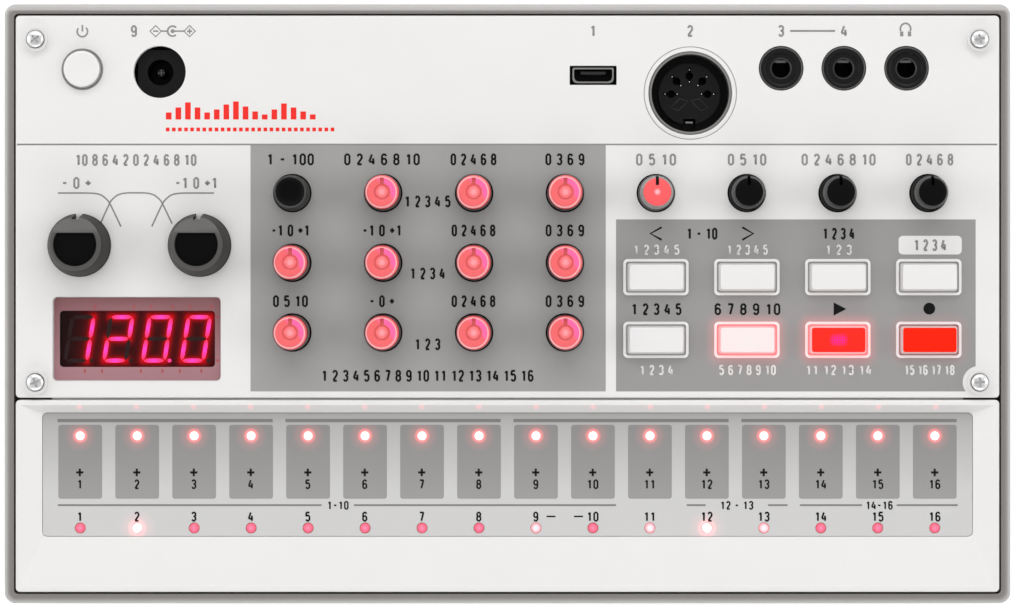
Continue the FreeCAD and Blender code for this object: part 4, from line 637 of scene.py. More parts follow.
@cache
def build_material(finish: Finish) -> bpy.types.Material:
    """Build a finish's material.

    Args:
        finish: the finish to build.

    Returns:
        Its material, the same one on every call.
    """
    material = bpy.data.materials.new(finish.name)
    material.use_nodes = True
    tree = Tree(material.node_tree)
    shader = material.node_tree.nodes["Principled BSDF"]
    surface = {"Base Color": finish.tint(tree), "Roughness": finish.roughness}
    if finish.mottle:
        grain = tree.add(
            "Group", {"Colour": surface["Base Color"], "Mottle": finish.mottle, "Fineness": finish.fineness,
                      "Roughness": finish.roughness, "Unevenness": finish.unevenness},
            node_tree=grain_group()).outputs
        bump = tree.add(
            "Bump", {"Strength": finish.grain, "Distance": GRAIN_DEPTH * MM, "Height": grain["Height"]})
        surface = {"Base Color": grain["Colour"], "Roughness": grain["Roughness"], "Normal": bump.outputs[0]}
    for label, value in surface.items():
        tree.feed(shader.inputs[label], value)
    for label, value in (("Metallic", finish.metallic), ("Coat Weight", finish.coat),
                         ("Alpha", finish.alpha), ("Specular IOR Level", finish.specular)):
        shader.inputs[label].default_value = value
    light, strength = finish.glow(tree)
    if light is None and any(finish.shine):
        light, strength = (*finish.shine, 1.0), 1.0
    if light is not None:
        tree.feed(shader.inputs["Emission Color"], light)
        shader.inputs["Emission Strength"].default_value = strength
    return material


@dataclass(frozen=True)
class SpotGlow(Finish):
    """A lit surface whose light falls off from the middle of each place of a grid."""

    grid: Grid = Grid((0, 0), (10, 10))
    core: Colour = (1.0, 0.5, 0.5)
    edge: Colour = (1.0, 0.1, 0.1)
    reach: Spot = (0.2, 1.5)
    strength: float = 1.0

    def glow(self, tree: Tree) -> Light:
        """Light from the core colour at the middle to the edge colour at the reach."""
        share = tree.fade(self.grid.node(tree)["Radius"], *self.reach)
        return tree.mix(share, self.core, self.edge), self.strength


@dataclass(frozen=True)
class RowGlow(SpotGlow):
    """Painted light at the places of a grid, up to a distance from the middle of the row."""

    half_row: float = 84.0

    def glow(self, tree: Tree) -> Light:
        """The grid's light, dark beyond the row's ends.

        Args:
            tree: the material's tree.

        Returns:
            The light and its strength.
        """
        light, strength = super().glow(tree)
        across = tree.math("ABSOLUTE", tree.axes()["X"])
        ends = tree.fade(across, self.half_row * MM, (self.half_row + 1) * MM)
        return tree.mix(ends, light, DARK), strength


@dataclass(frozen=True)
class LipGlow(Finish):
    """A surface with painted light round each lit cap beside it."""

    lights: tuple[tuple[Grid, Colour], ...] = ()
    half: Spot = (5.3, 2.6)
    reach: Spot = (0.5, 3.8)

    def glow(self, tree: Tree) -> Light:
        """Painted light that falls off from the outline of each cap.

        Args:
            tree: the material's tree.

        Returns:
            The light and its strength.
        """
        light: object = DARK
        for grid, colour in self.lights:
            place = grid.node(tree)
            away = beyond(tree, place["Across"], place["Along"], self.half)
            share = tree.fade(away, *self.reach, 1, 0)
            light = tree.mix(tree.math("MULTIPLY", share, share), light, colour)
        return light, 1.0


@dataclass(frozen=True)
class RimTint(Finish):
    """Moulded grey with a painted highlight over the rounded outer edge of the rim and a brighter one along
    its rear edge.
    """

    edge_colour: Colour = (0.5, 0.5, 0.5)
    rear_colour: Colour = (0.5, 0.5, 0.5)
    half: Spot = (96.48, 57.48)
    corner: float = 2.5
    band: float = 1.3
    level: float = 34.7

    def tint(self, tree: Tree) -> object:
        """The painted highlight by the distance from the rim's outline and from the rear edge.

        Args:
            tree: the material's tree.

        Returns:
            The colour.
        """
        axes = tree.axes()
        across, along = (tree.math("MULTIPLY", axes[axis], 1 / MM) for axis in "XY")
        away = beyond(tree, across, along, (self.half[0] - self.corner, self.half[1] - self.corner))
        side = tree.fade(away, self.corner - self.band, self.corner)
        height = tree.fade(axes["Z"], (self.level - 2.4) * MM, (self.level - 1) * MM)
        edge_highlighted = tree.mix(tree.math("MULTIPLY", side, height), self.colour, self.edge_colour)
        rear = tree.fade(along, self.half[1] - self.band - 0.2, self.half[1] - self.band + 0.3)
        return tree.mix(tree.math("MULTIPLY", rear, height), edge_highlighted, self.rear_colour)


@dataclass(frozen=True)
class KnobGlow(Finish):
    """Red plastic lit from below: pale middle, rose quadrant of painted light, painted highlight on the bevel
    and a dark side.
    """

    grid: Grid = Grid((0, 0), (10, 10))
    side: Colour = (0.06, 0.012, 0.013)
    lit_above: float = 43.2
    strength: float = 1.0

    def height_share(self, tree: Tree) -> Socket:
        """0 on the dark side and 1 from the bevel up."""
        return tree.fade(tree.axes()["Z"], (self.lit_above - 0.2) * MM, (self.lit_above + 0.06) * MM)

    def tint(self, tree: Tree) -> object:
        """Dark red on the side and clear red from the bevel up."""
        return tree.mix(self.height_share(tree), self.side, self.colour)

    def band(self, tree: Tree, radius: object, near: float, far: float, soft: float) -> Socket:
        """1 between two radii and 0 a soft edge away from them."""
        return tree.math("MULTIPLY", tree.fade(radius, near - soft, near), tree.fade(radius, far + soft, far))

    def glow(self, tree: Tree) -> Light:
        """Pale in the middle, rose in one quadrant of painted light, painted shade in the ring groove and a
        painted highlight ring on the bevel.

        Args:
            tree: the material's tree.

        Returns:
            The light and its strength.
        """
        place = self.grid.node(tree)
        radius = place["Radius"]
        middle = tree.fade(radius, 0.15, 1.1, 1, 0)
        face = tree.mix(middle, (0.20, 0.045, 0.05), (0.30, 0.27, 0.30))
        slant = tree.math("ADD", place["Across"], tree.math("MULTIPLY", place["Along"], 0.8))
        rose = tree.math("MULTIPLY", tree.fade(slant, 0.5, 1.9), self.band(tree, radius, 1.7, 2.6, 0.2))
        face = tree.mix(rose, face, (0.28, 0.05, 0.30))
        # Painted shade in the ring groove round the dome.
        face = tree.mix(self.band(tree, radius, 1.25, 1.45, 0.2), face, (0.02, 0.0, 0.0))
        # A painted highlight ring on the bevel, set slightly off the middle.
        across = tree.math("ADD", place["Across"], 0.13)
        along = tree.math("ADD", place["Along"], 0.05)
        square = tree.math("MULTIPLY_ADD", across, across, tree.math("MULTIPLY", along, along))
        ring = self.band(tree, tree.math("SQRT", square), 2.78, 2.94, 0.1)
        light = tree.mix(ring, face, (0.28, 0.36, 0.37))
        return tree.mix(self.height_share(tree), DARK, light), self.strength


@dataclass(frozen=True)
class DotGlow(SpotGlow):
    """A lit cap with an oval patch of fine dots at each place of a grid."""

    dot_pitch: float = 0.46
    dot_light: Colour = (0.0, 0.0, 0.3)

    def glow(self, tree: Tree) -> Light:
        """The even light of the cap with the dots laid over its middle.

        Args:
            tree: the material's tree.

        Returns:
            The light and its strength.
        """
        light, strength = super().glow(tree)
        dots = Grid(self.grid.origin, (self.dot_pitch, self.dot_pitch)).node(tree)["Radius"]
        place = self.grid.node(tree)
        patch = tree.fade(beyond(tree, place["Across"], place["Along"], (0.7, 0.1)), 0.1, 1.35, 1, 0)
        share = tree.math("MULTIPLY", patch, tree.fade(dots, 0.1, 0.24, 1.0, 0.2))
        return tree.mix(share, light, self.dot_light), strength


@dataclass(frozen=True)
class HaloGlow(Finish):
    """A light that fades with the piece's own halo attribute."""

    light: Colour = (0.5, 0.01, 0.03)
    dark: Colour = DARK

    def glow(self, tree: Tree) -> Light:
        """The haze, strongest where the attribute is 1."""
        share = tree.add("Attribute", attribute_name="halo").outputs["Fac"]
        return tree.mix(share, self.dark, self.light), 1.0


@dataclass(frozen=True)
class SlopeTint(Finish):
    """A sheet whose tone runs evenly from its rear edge to its front edge, darker at the rear; on the touch
    sheet and its key prints this is painted shade.
    """

    front_colour: Colour = (0.5, 0.5, 0.5)
    rear: float = 0.0
    front: float = 0.0
    lamps: Grid | None = None
    reach: float = 3.4
    lamp_light: Colour = (1.0, 0.08, 0.08)

    def tint(self, tree: Tree) -> object:
        """The tone at each distance from the rear edge."""
        share = tree.add("MapRange", {0: tree.axes()["Y"], 1: self.rear * MM, 2: self.front * MM}).outputs[0]
        return tree.mix(share, self.colour, self.front_colour)

    def glow(self, tree: Tree) -> Light:
        """The painted glow of red light round each lamp in the sheet.

        Args:
            tree: the material's tree.

        Returns:
            The light and its strength.
        """
        if self.lamps is None:
            return None, 0.0
        radius = self.lamps.node(tree)["Radius"]
        near = tree.fade(radius, 0.8, self.reach / 2, 0.75, 0.0)
        wide = tree.fade(radius, 1.0, self.reach, 0.16, 0.0)
        return tree.mix(tree.math("ADD", near, wide), DARK, self.lamp_light), 1.0


KNOB_GRID = Grid((-41.2, 21.2), (17.4, 13.35))
BUTTON_GRID = Grid((28.4, 5.1), (17.4, 12.0))
KEY_PITCH = 10.94
FIRST_KEY = -82.05
REAR_ROW = -25.35
FRONT_ROW = -43.05
UPPER_LAMPS = Grid((FIRST_KEY, REAR_ROW), (KEY_PITCH, 40.0))
LOWER_LAMPS = Grid((FIRST_KEY, FRONT_ROW), (KEY_PITCH, 40.0))
BRIGHT_LAMPS = Grid((FIRST_KEY + KEY_PITCH, FRONT_ROW), (10 * KEY_PITCH, 80.0))
# Places of the painted reflections of the rear lamps on the frame's rear slope.
LAMP_GLINTS = Grid((FIRST_KEY, -19.75), (KEY_PITCH, 90.0))
ALONE = (900.0, 900.0)
# Where the lit caps stand, and the colour of the light painted round each on the panel and the right grey
# area.
LIT_CAPS = (
    (Grid((45.8, -6.9), ALONE), (0.24, 0.04, 0.045)),
    (Grid((63.2, -6.9), ALONE), (0.25, 0.02, 0.025)),
    (Grid((80.6, -6.9), ALONE), (0.08, 0.01, 0.012)),
)
WHITE = (0.80, 0.79, 0.78)


class Shades:
    """Every finish of the object, in linear colour."""

    # The shell's grey, with a painted highlight on the rounded outer edge of the rim and along its rear.
    SHELL = RimTint("shell_grey", (0.218, 0.205, 0.197), 0.36, grain=0.4, fineness=2600, mottle=0.06,
                    coat=0.3, edge_colour=(0.50, 0.49, 0.48), rear_colour=(0.50, 0.485, 0.478))
    CASE = Finish("case_white", WHITE, 0.42, grain=0.22, mottle=0.03)
    # The panel's white, with painted light round the lit caps.
    PANEL = LipGlow("panel_white", WHITE, 0.42, grain=0.22, mottle=0.03, lights=LIT_CAPS)
    # The frame's white, with painted reflections of the rear lamps as faint pink spots on its rear slope.
    FRAME = RowGlow("frame_white", WHITE, 0.36, grain=0.2, mottle=0.03, grid=LAMP_GLINTS,
                    core=(0.30, 0, 0.02), edge=DARK, reach=(0.15, 0.75))
    # The touch sheet: painted shade, darker towards the rear, and a painted glow round the two bright front
    # lamps.
    OVERLAY = SlopeTint(
        "overlay_grey", (0.40, 0.395, 0.39), 0.38, grain=0.08, mottle=0.03, front_colour=(0.60, 0.595, 0.59),
        rear=-21, front=-36, lamps=BRIGHT_LAMPS, reach=4.2, lamp_light=(0.9, 0.12, 0.14))
    # The key prints: painted shade, darker towards the rear, and a painted glow round each rear lamp.
    PADS = SlopeTint(
        "key_print_grey", (0.245, 0.24, 0.237), 0.42, grain=0.08, mottle=0.04,
        front_colour=(0.325, 0.32, 0.315), rear=-23, front=-38, lamps=UPPER_LAMPS)
    # The same grey ink on both areas; the left one is painted lighter to offset the shade that its knobs
    # cast.
    AREA_LEFT = Finish("area_print_left", (0.338, 0.333, 0.328), 0.5, grain=0.12, mottle=0.04)
    AREA_RIGHT = LipGlow("area_print_right", (0.298, 0.293, 0.289), 0.5, grain=0.12, mottle=0.04,
                         lights=LIT_CAPS)
    INK_GREY = Finish("mark_print_grey", (0.27, 0.262, 0.258), 0.5)
    INK_BLACK = Finish("mark_print_black", (0.004, 0.004, 0.0042), 0.5, specular=0.15)
    INK_WHITE = Finish("mark_print_white", WHITE, 0.45, mottle=0.03)
    INK_RED = Finish("mark_print_red", (0.86, 0.026, 0.018), specular=0.2)
    BAR_GREY = Finish("bar_print_grey", (0.195, 0.19, 0.185), 0.45, mottle=0.04)
    KNOB_RED = KnobGlow("knob_red", (0.72, 0.09, 0.095), 0.3, grain=0.06, mottle=0.04, coat=0.2,
                        grid=KNOB_GRID)
    # The lit knobs' pointer notch, a darker red than the knob: painted shade in the recess.
    KNOB_NOTCH = SpotGlow("notch_red", (0.45, 0.07, 0.065), 0.4, grain=0.06, grid=KNOB_GRID,
                          core=(0.22, 0.035, 0.03), edge=(0.20, 0, 0.02), reach=(1.8, 2.4))
    TEMPO_FACE = SpotGlow("tempo_red", (0.72, 0.075, 0.078), 0.35, grain=0.06, grid=KNOB_GRID,
                          core=(0.35, 0.45, 0.5), edge=(0.26, 0.03, 0.035), reach=(0.1, 0.8))
    TEMPO_SIDE = Finish("tempo_side_grey", (0.34, 0.33, 0.325), 0.42, grain=0.4, fineness=5000)
    TEMPO_FOOT = Finish("tempo_foot_grey", (0.05, 0.045, 0.045), 0.42, grain=0.3)
    KNOB_BLACK = Finish("knob_black", (0.0028, 0.0026, 0.0027), 0.45, grain=0.2, fineness=5000, specular=0.08)
    KNOB_SIDE = Finish("knob_side_black", (0.024, 0.023, 0.022), 0.42, grain=0.6, fineness=5000)
    # The isolators' black plastic made lighter on its upward faces round the top: a painted highlight.
    KNOB_GREY = Finish("knob_grey", (0.074, 0.07, 0.068), 0.38, grain=0.15, fineness=4200, mottle=0.04)
    ISOLATOR_SIDE = Finish("isolator_side", (0.03, 0.0275, 0.0265), 0.4, grain=0.15, fineness=4200,
                           specular=0.03)
    # Black darker than the knobs' own, also on the black knobs' foot: painted shade in the encoder's hollow,
    # the pointer notches and the isolators' half-round face.
    KNOB_FACE = Finish("knob_deep_black", (0.0012, 0.0012, 0.0013), 0.5, grain=0.12, specular=0.08)
    SHAFT = Finish("shaft_black", (0.03, 0.03, 0.03), 0.5, grain=0.3)
    CAP_WHITE = Finish("button_white", (0.81, 0.80, 0.795), 0.33, mottle=0.02, coat=0.15)
    # The white caps' skirts: greyer than the face, with a faint even painted glow.
    CAP_SKIRT = Finish("button_skirt", (0.55, 0.545, 0.54), 0.3, grain=0.08, mottle=0.03, coat=0.2,
                       shine=(0.13, 0.128, 0.125))
    # The white power cap's side, painted grey as shade.
    POWER_RING = Finish("power_side_shade", (0.33, 0.325, 0.32), 0.35, grain=0.08, coat=0.2)
    CAP_ROSE = SpotGlow("button_rose", (0.80, 0.76, 0.755), 0.33, mottle=0.02, grid=BUTTON_GRID,
                        core=(0.12, 0.05, 0.05), edge=(0.14, 0.04, 0.045), reach=(1, 5))
    SKIRT_ROSE = SpotGlow("button_skirt_rose", (0.70, 0.42, 0.42), 0.3, grain=0.08, grid=BUTTON_GRID,
                          core=(0.45, 0.14, 0.15), edge=(0.5, 0.12, 0.13), reach=(2, 5.5))
    CAP_PLAY = DotGlow("button_play_red", (0.80, 0.022, 0.012), 0.36, mottle=0.02, specular=0.15,
                       grid=BUTTON_GRID, core=(0.24, 0.004, 0.01), edge=(0.2, 0, 0), reach=(0.3, 2.2),
                       dot_light=(0.3, 0, 0.40))
    CAP_RECORD = SpotGlow("button_record_red", (0.84, 0.014, 0), 0.36, mottle=0.02,
                          specular=0.12, grid=BUTTON_GRID, core=(0.25, 0, 0), edge=(0.24, 0, 0),
                          reach=(0.3, 4))
    SKIRT_WARM = Finish("button_skirt_warm", (0.62, 0.50, 0.495), 0.3, grain=0.08, mottle=0.03, coat=0.2,
                        shine=(0.14, 0.08, 0.08))
    LAMP_HOT = SpotGlow("lamp_hot", (0.85, 0.5, 0.5), 0.2, grain=0.02, coat=0.4, grid=UPPER_LAMPS,
                        core=(1.2, 1.15, 1.15), edge=(1, 0.07, 0.09), reach=(0.62, 0.9), strength=1.2)
    LAMP_DIM = SpotGlow("lamp_dim", (0.75, 0.12, 0.18), 0.18, grain=0.02, coat=0.4, grid=LOWER_LAMPS,
                        core=(0.40, 0.14, 0.25), edge=(0.25, 0, 0.02), reach=(0.1, 0.85))
    LAMP_BRIGHT = SpotGlow("lamp_bright", (0.85, 0.6, 0.6), 0.2, grain=0.02, coat=0.4, grid=LOWER_LAMPS,
                           core=(1.2, 1.15, 1.15), edge=(1, 0.35, 0.36), reach=(0.55, 0.95), strength=1.2)
    LAMP_HALF = SpotGlow("lamp_half", (0.8, 0.35, 0.38), 0.2, grain=0.02, coat=0.4, grid=LOWER_LAMPS,
                         core=(0.8, 0.55, 0.6), edge=(0.6, 0.10, 0.12), reach=(0.3, 0.9))
    SEGMENT = HaloGlow("segment_lit", (0.4, 0.03, 0.08), 0.4, grain=0.3, light=(1.5, 0.04, 0.72),
                       dark=(1.35, 0.02, 0.07))
    SEGMENT_OFF = Finish("segment_unlit", (0.028, 0.014, 0.013), 0.45, specular=0.15)
    # Painted reflections of the lit bars on the window's border.
    GLINT = Finish("display_glint", (0.42, 0.10, 0.105), 0.5, shine=(0.08, 0, 0))
    # The module's dark face, with a painted glow round the lit bars.
    MODULE = HaloGlow("module_black", (0.002, 0.001, 0.001), 0.4, specular=0.1, light=(1, 0.001, 0.008))
    BORDER = SlopeTint("display_border", (0.34, 0.145, 0.158), 0.5, grain=0.15, mottle=0.08,
                       front_colour=(0.50, 0.255, 0.285), rear=0.5, front=-14)
    HOUSING = Finish("module_housing", (0.45, 0.42, 0.41), 0.5, grain=0.3)
    WINDOW = Finish("window_tint", (0.03, 0.012, 0.014), 0.06, mottle=0, alpha=0.1)
    SOCKET = Finish("socket_black", (0.006, 0.006, 0.0062), 0.38, grain=0.25, specular=0.22)
    JACK = Finish("jack_black", (0.006, 0.006, 0.0062), 0.2, grain=0.05, specular=0.4)
    JACK_EDGE = Finish("jack_edge", (0.06, 0.058, 0.057), 0.22, grain=0.05)
    SPRING = Finish("jack_spring", (0.22, 0.215, 0.21), 0.35, metallic=0.5)
    RIDGE = Finish("socket_ridge", (0.02, 0.02, 0.02), 0.3)
    CONTACT = Finish("contact_metal", (0.66, 0.65, 0.63), 0.26, metallic=1, mottle=0.08)
    SCREW_EDGE = Finish("screw_edge", (0.13, 0.13, 0.13), 0.4, metallic=0.3)
    # Plated metal mixed half with a pale diffuse grey: a painted sheen that stands in for the bright
    # reflections of the plated heads.
    CHROME = Finish("screw_chrome", (0.72, 0.72, 0.725), 0.26, metallic=0.45, mottle=0.1, coat=0.4)
    STEEL = Finish("screw_steel", (0.46, 0.46, 0.47), 0.32, metallic=1, grain=0.2, mottle=0.12)
    RUBBER = Finish("foot_rubber", (0.022, 0.022, 0.022), 0.75, grain=0.6, fineness=1800, mottle=0.12)
    BOARD = Finish("board", (0.015, 0.11, 0.05), 0.35, mottle=0.15)
    CONE = Finish("cone_paper", (0.035, 0.035, 0.034), 0.8, grain=0.8, fineness=900, mottle=0.25)
    LEAD = Finish("lead_red", (0.5, 0.02, 0.02), 0.45)
    RIBBON = Finish("ribbon_grey", (0.42, 0.42, 0.42), 0.5, grain=0.15)


@dataclass(frozen=True)
class View:
    """The photograph's view from straight above, and what one of its points is on a level plane."""

    middle: Spot = (509.5, 306.0)
    centre: Spot = (0.383, -0.422)
    distance: float = 800.0
    rim: float = 34.7
    scale: float = 0.1917
    lens: float = 147.47
    sensor: float = 36.0

    def at(self, across: float, down: float, level: float) -> Spot:
        """Find where a picture point lies on a level plane.

        Args:
            across: picture point across.
            down: picture point down.
            level: the plane's height in millimetres.

        Returns:
            The place in millimetres.
        """
        share = self.scale * (1 - (level - self.rim) / self.distance)
        return (self.centre[0] + (across - self.middle[0]) * share,
                self.centre[1] - (down - self.middle[1]) * share)

    def camera(self) -> None:
        """Place the camera straight above and look down."""
        data = bpy.data.cameras.new("view_camera")
        data.sensor_width = self.sensor
        data.lens = self.lens
        data.clip_start, data.clip_end = 0.01, 20.0
        camera = bpy.data.objects.new("view_camera", data)
        camera.location = (self.centre[0] * MM, self.centre[1] * MM, (self.rim + self.distance) * MM)
        bpy.context.scene.collection.objects.link(camera)
        bpy.context.scene.camera = camera


VIEW = View()


def arc(centre: Spot, radii: Spot, turns: range) -> list[Spot]:
    """Points on an arc, at turns in degrees from the first axis towards the second."""
    return [(centre[0] + radii[0] * math.cos(math.radians(turn)),
             centre[1] + radii[1] * math.sin(math.radians(turn))) for turn in turns]


FIGURES: dict[str, tuple[tuple[Spot, ...], ...]] = {
    "0": (((0.3, 0), (0.7, 0), (1, 0.16), (1, 0.84), (0.7, 1), (0.3, 1), (0, 0.84), (0, 0.16), (0.3, 0)),),
    "1": (((0.62, 0), (0.62, 1)), ((0.62, 0.96), (0.15, 0.78))),
    "2": (((0, 0.8), (0.3, 1), (0.7, 1), (1, 0.84), (1, 0.64), (0.08, 0.04)), ((0, 0), (1, 0))),
    "3": (((0, 0.84), (0.3, 1), (0.7, 1), (1, 0.86), (1, 0.66), (0.7, 0.53), (0.4, 0.53)),
          ((0.4, 0.53), (0.7, 0.53), (1, 0.38), (1, 0.16), (0.7, 0), (0.3, 0), (0, 0.16))),
    "4": (((0.82, 0), (0.82, 0.62)), ((0.5, 1), (-0.1, 0.29)), ((-0.12, 0.26), (1.15, 0.26))),
    "5": (((1, 1), (0, 1)), ((0.06, 1), (0.04, 0.54)),
          ((0.04, 0.54), (0.35, 0.64), (0.7, 0.64), (1, 0.48), (1, 0.16), (0.7, 0), (0.3, 0), (0, 0.16))),
    "6": (((1, 0.84), (0.7, 1), (0.3, 1), (0, 0.84), (0, 0.16), (0.3, 0), (0.7, 0), (1, 0.16), (1, 0.42),
           (0.7, 0.57), (0.3, 0.57), (0, 0.44)),),
    "7": (((-0.05, 1), (1.05, 1)), ((0.98, 1), (0.4, 0))),
    "8": (((0.3, 0.53), (0.7, 0.53), (1, 0.4), (1, 0.14), (0.7, 0), (0.3, 0), (0, 0.14), (0, 0.4),
           (0.3, 0.53)),
          ((0.3, 0.53), (0.04, 0.66), (0.04, 0.86), (0.3, 1), (0.7, 1), (0.96, 0.86), (0.96, 0.66),
           (0.7, 0.53))),
    "9": (((0, 0.16), (0.3, 0), (0.7, 0), (1, 0.16), (1, 0.84), (0.7, 1), (0.3, 1), (0, 0.84), (0, 0.58),
           (0.3, 0.43), (0.7, 0.43), (1, 0.56)),),
    "-": (((0.1, 0.5), (0.9, 0.5)),),
    "+": (((-0.12, 0.5), (1.12, 0.5)), ((0.5, 0.26), (0.5, 0.74))),
}


@dataclass
class Printer:
    """Flat marks of one ink on one level surface, gathered and joined into one piece.

    The figures' pitch, width, word space and line are shares of their height.
    """

    name: str
    level: float
    ink: Finish
    slot: str = "case_white"
    thickness: float = 0.03
    figure: float = 2.3
    pitch: float = 0.63
    wide: float = 0.34
    space: float = 0.34
    line: float = 0.18

    def __post_init__(self) -> None:
        """Start with no marks."""
        self.marks: list[Piece] = []

    def keep(self, mark: Piece, x: float, y: float, turn: float = 0) -> None:
        """Lay a mark on the surface at a place."""
        self.marks.append(move(mark, x, y, self.level, turn))

    def text(self, words: str, across: float, down: float, width: float = 0) -> None:
        """Print plain figures centred on a picture point.

        Args:
            words: the figures.
            across: picture point across.
            down: picture point down.
            width: whole width in millimetres, or 0 for the figures' own.
        """
        height = self.figure
        steps = [self.space if letter == " " else self.pitch for letter in words]
        run = sum(steps) - self.pitch + self.wide
        squeeze = (width / height - self.line) / run if width else 1.0
        x, y = VIEW.at(across, down, self.level)
        left = x - run * squeeze * height / 2
        rise = (1 - self.line) * height
        paths = []
        for index, letter in enumerate(words):
            start = sum(steps[:index])
            for path in FIGURES.get(letter, ()):
                paths.append([(left + (start + px * self.wide) * squeeze * height, y + (py - 0.5) * rise)
                              for px, py in path])
        self.draw(paths, self.line * height)

    def row(self, down: float, columns: Sequence[float], *labels: tuple[str, float]) -> None:
        """Print a row of figures, given by their words and widths, one in each column."""
        for across, (words, width) in zip(columns, labels):
            self.text(words, across, down, width)

    def plate(self, left: float, top: float, right: float, bottom: float, corner: float = 0) -> Piece:
        """Print a filled block between two picture points.

        Args:
            left: left edge.
            top: upper edge.
            right: right edge.
            bottom: lower edge.
            corner: corner radius in millimetres.

        Returns:
            The block, in place.
        """
        x0, y0 = VIEW.at(left, top, self.level)
        x1, y1 = VIEW.at(right, bottom, self.level)
        mark = slab("block", (x1 - x0, y0 - y1), corner, [(0, 0), (0, self.thickness)])
        self.keep(mark, (x0 + x1) / 2, (y0 + y1) / 2)
        return mark

    def dot(self, across: float, down: float, radius: float) -> None:
        """Print a disc on a picture point."""
        mark = turned("dot", [(radius, 0), (radius, self.thickness)], 32)
        self.keep(mark, *VIEW.at(across, down, self.level))

    def stroke(self, points: Sequence[Spot], width: float, curved: bool = False) -> None:
        """Print a line of a width in millimetres through picture points, curved or straight."""
        self.draw([[VIEW.at(across, down, self.level) for across, down in points]], width, curved)

    def draw(self, paths: Sequence[Sequence[Spot]], width: float, curved: bool = False) -> None:
        """Print lines of one width through points in millimetres.

        Args:
            paths: the points of each line; a line that ends at its first point is closed.
            width: line width in millimetres.
            curved: True for smooth curves through the points.
        """
        curve = bpy.data.curves.new("stroke", "CURVE")
        curve.dimensions = "3D"
        for path in paths:
            closed = len(path) > 2 and path[0] == path[-1]
            points = path[:-1] if closed else path
            spline = curve.splines.new("NURBS" if curved else "POLY")
            spline.points.add(len(points) - 1)
            for point, (x, y) in zip(spline.points, points):
                point.co = (x * MM, y * MM, 0, 1)
            spline.use_cyclic_u = closed
            if curved:
                spline.order_u = 3
                spline.use_endpoint_u = True
                spline.resolution_u = 12
        curve.bevel_depth = width / 2 * MM
        curve.bevel_resolution = 1
        curve.use_fill_caps = True
        mark = bpy.data.objects.new("stroke", curve)
        bpy.context.scene.collection.objects.link(mark)
        pick(mark)
        bpy.ops.object.convert(target="MESH")
        mark = bpy.context.object
        bpy.ops.object.mode_set(mode="EDIT")
        close_up(mark)
        mark.data.transform(Matrix.Diagonal((1, 1, self.thickness / width, 1)))
        mark.data.transform(Matrix.Translation((0, 0, self.thickness / 2 * MM)))
        self.keep(mark, 0, 0)

    def finish(self) -> None:
        """Join the marks into one piece in its ink."""
        for mark in self.marks:
            mark.data.materials.clear()
        fit(join(self.name, self.marks), self.slot, self.ink)


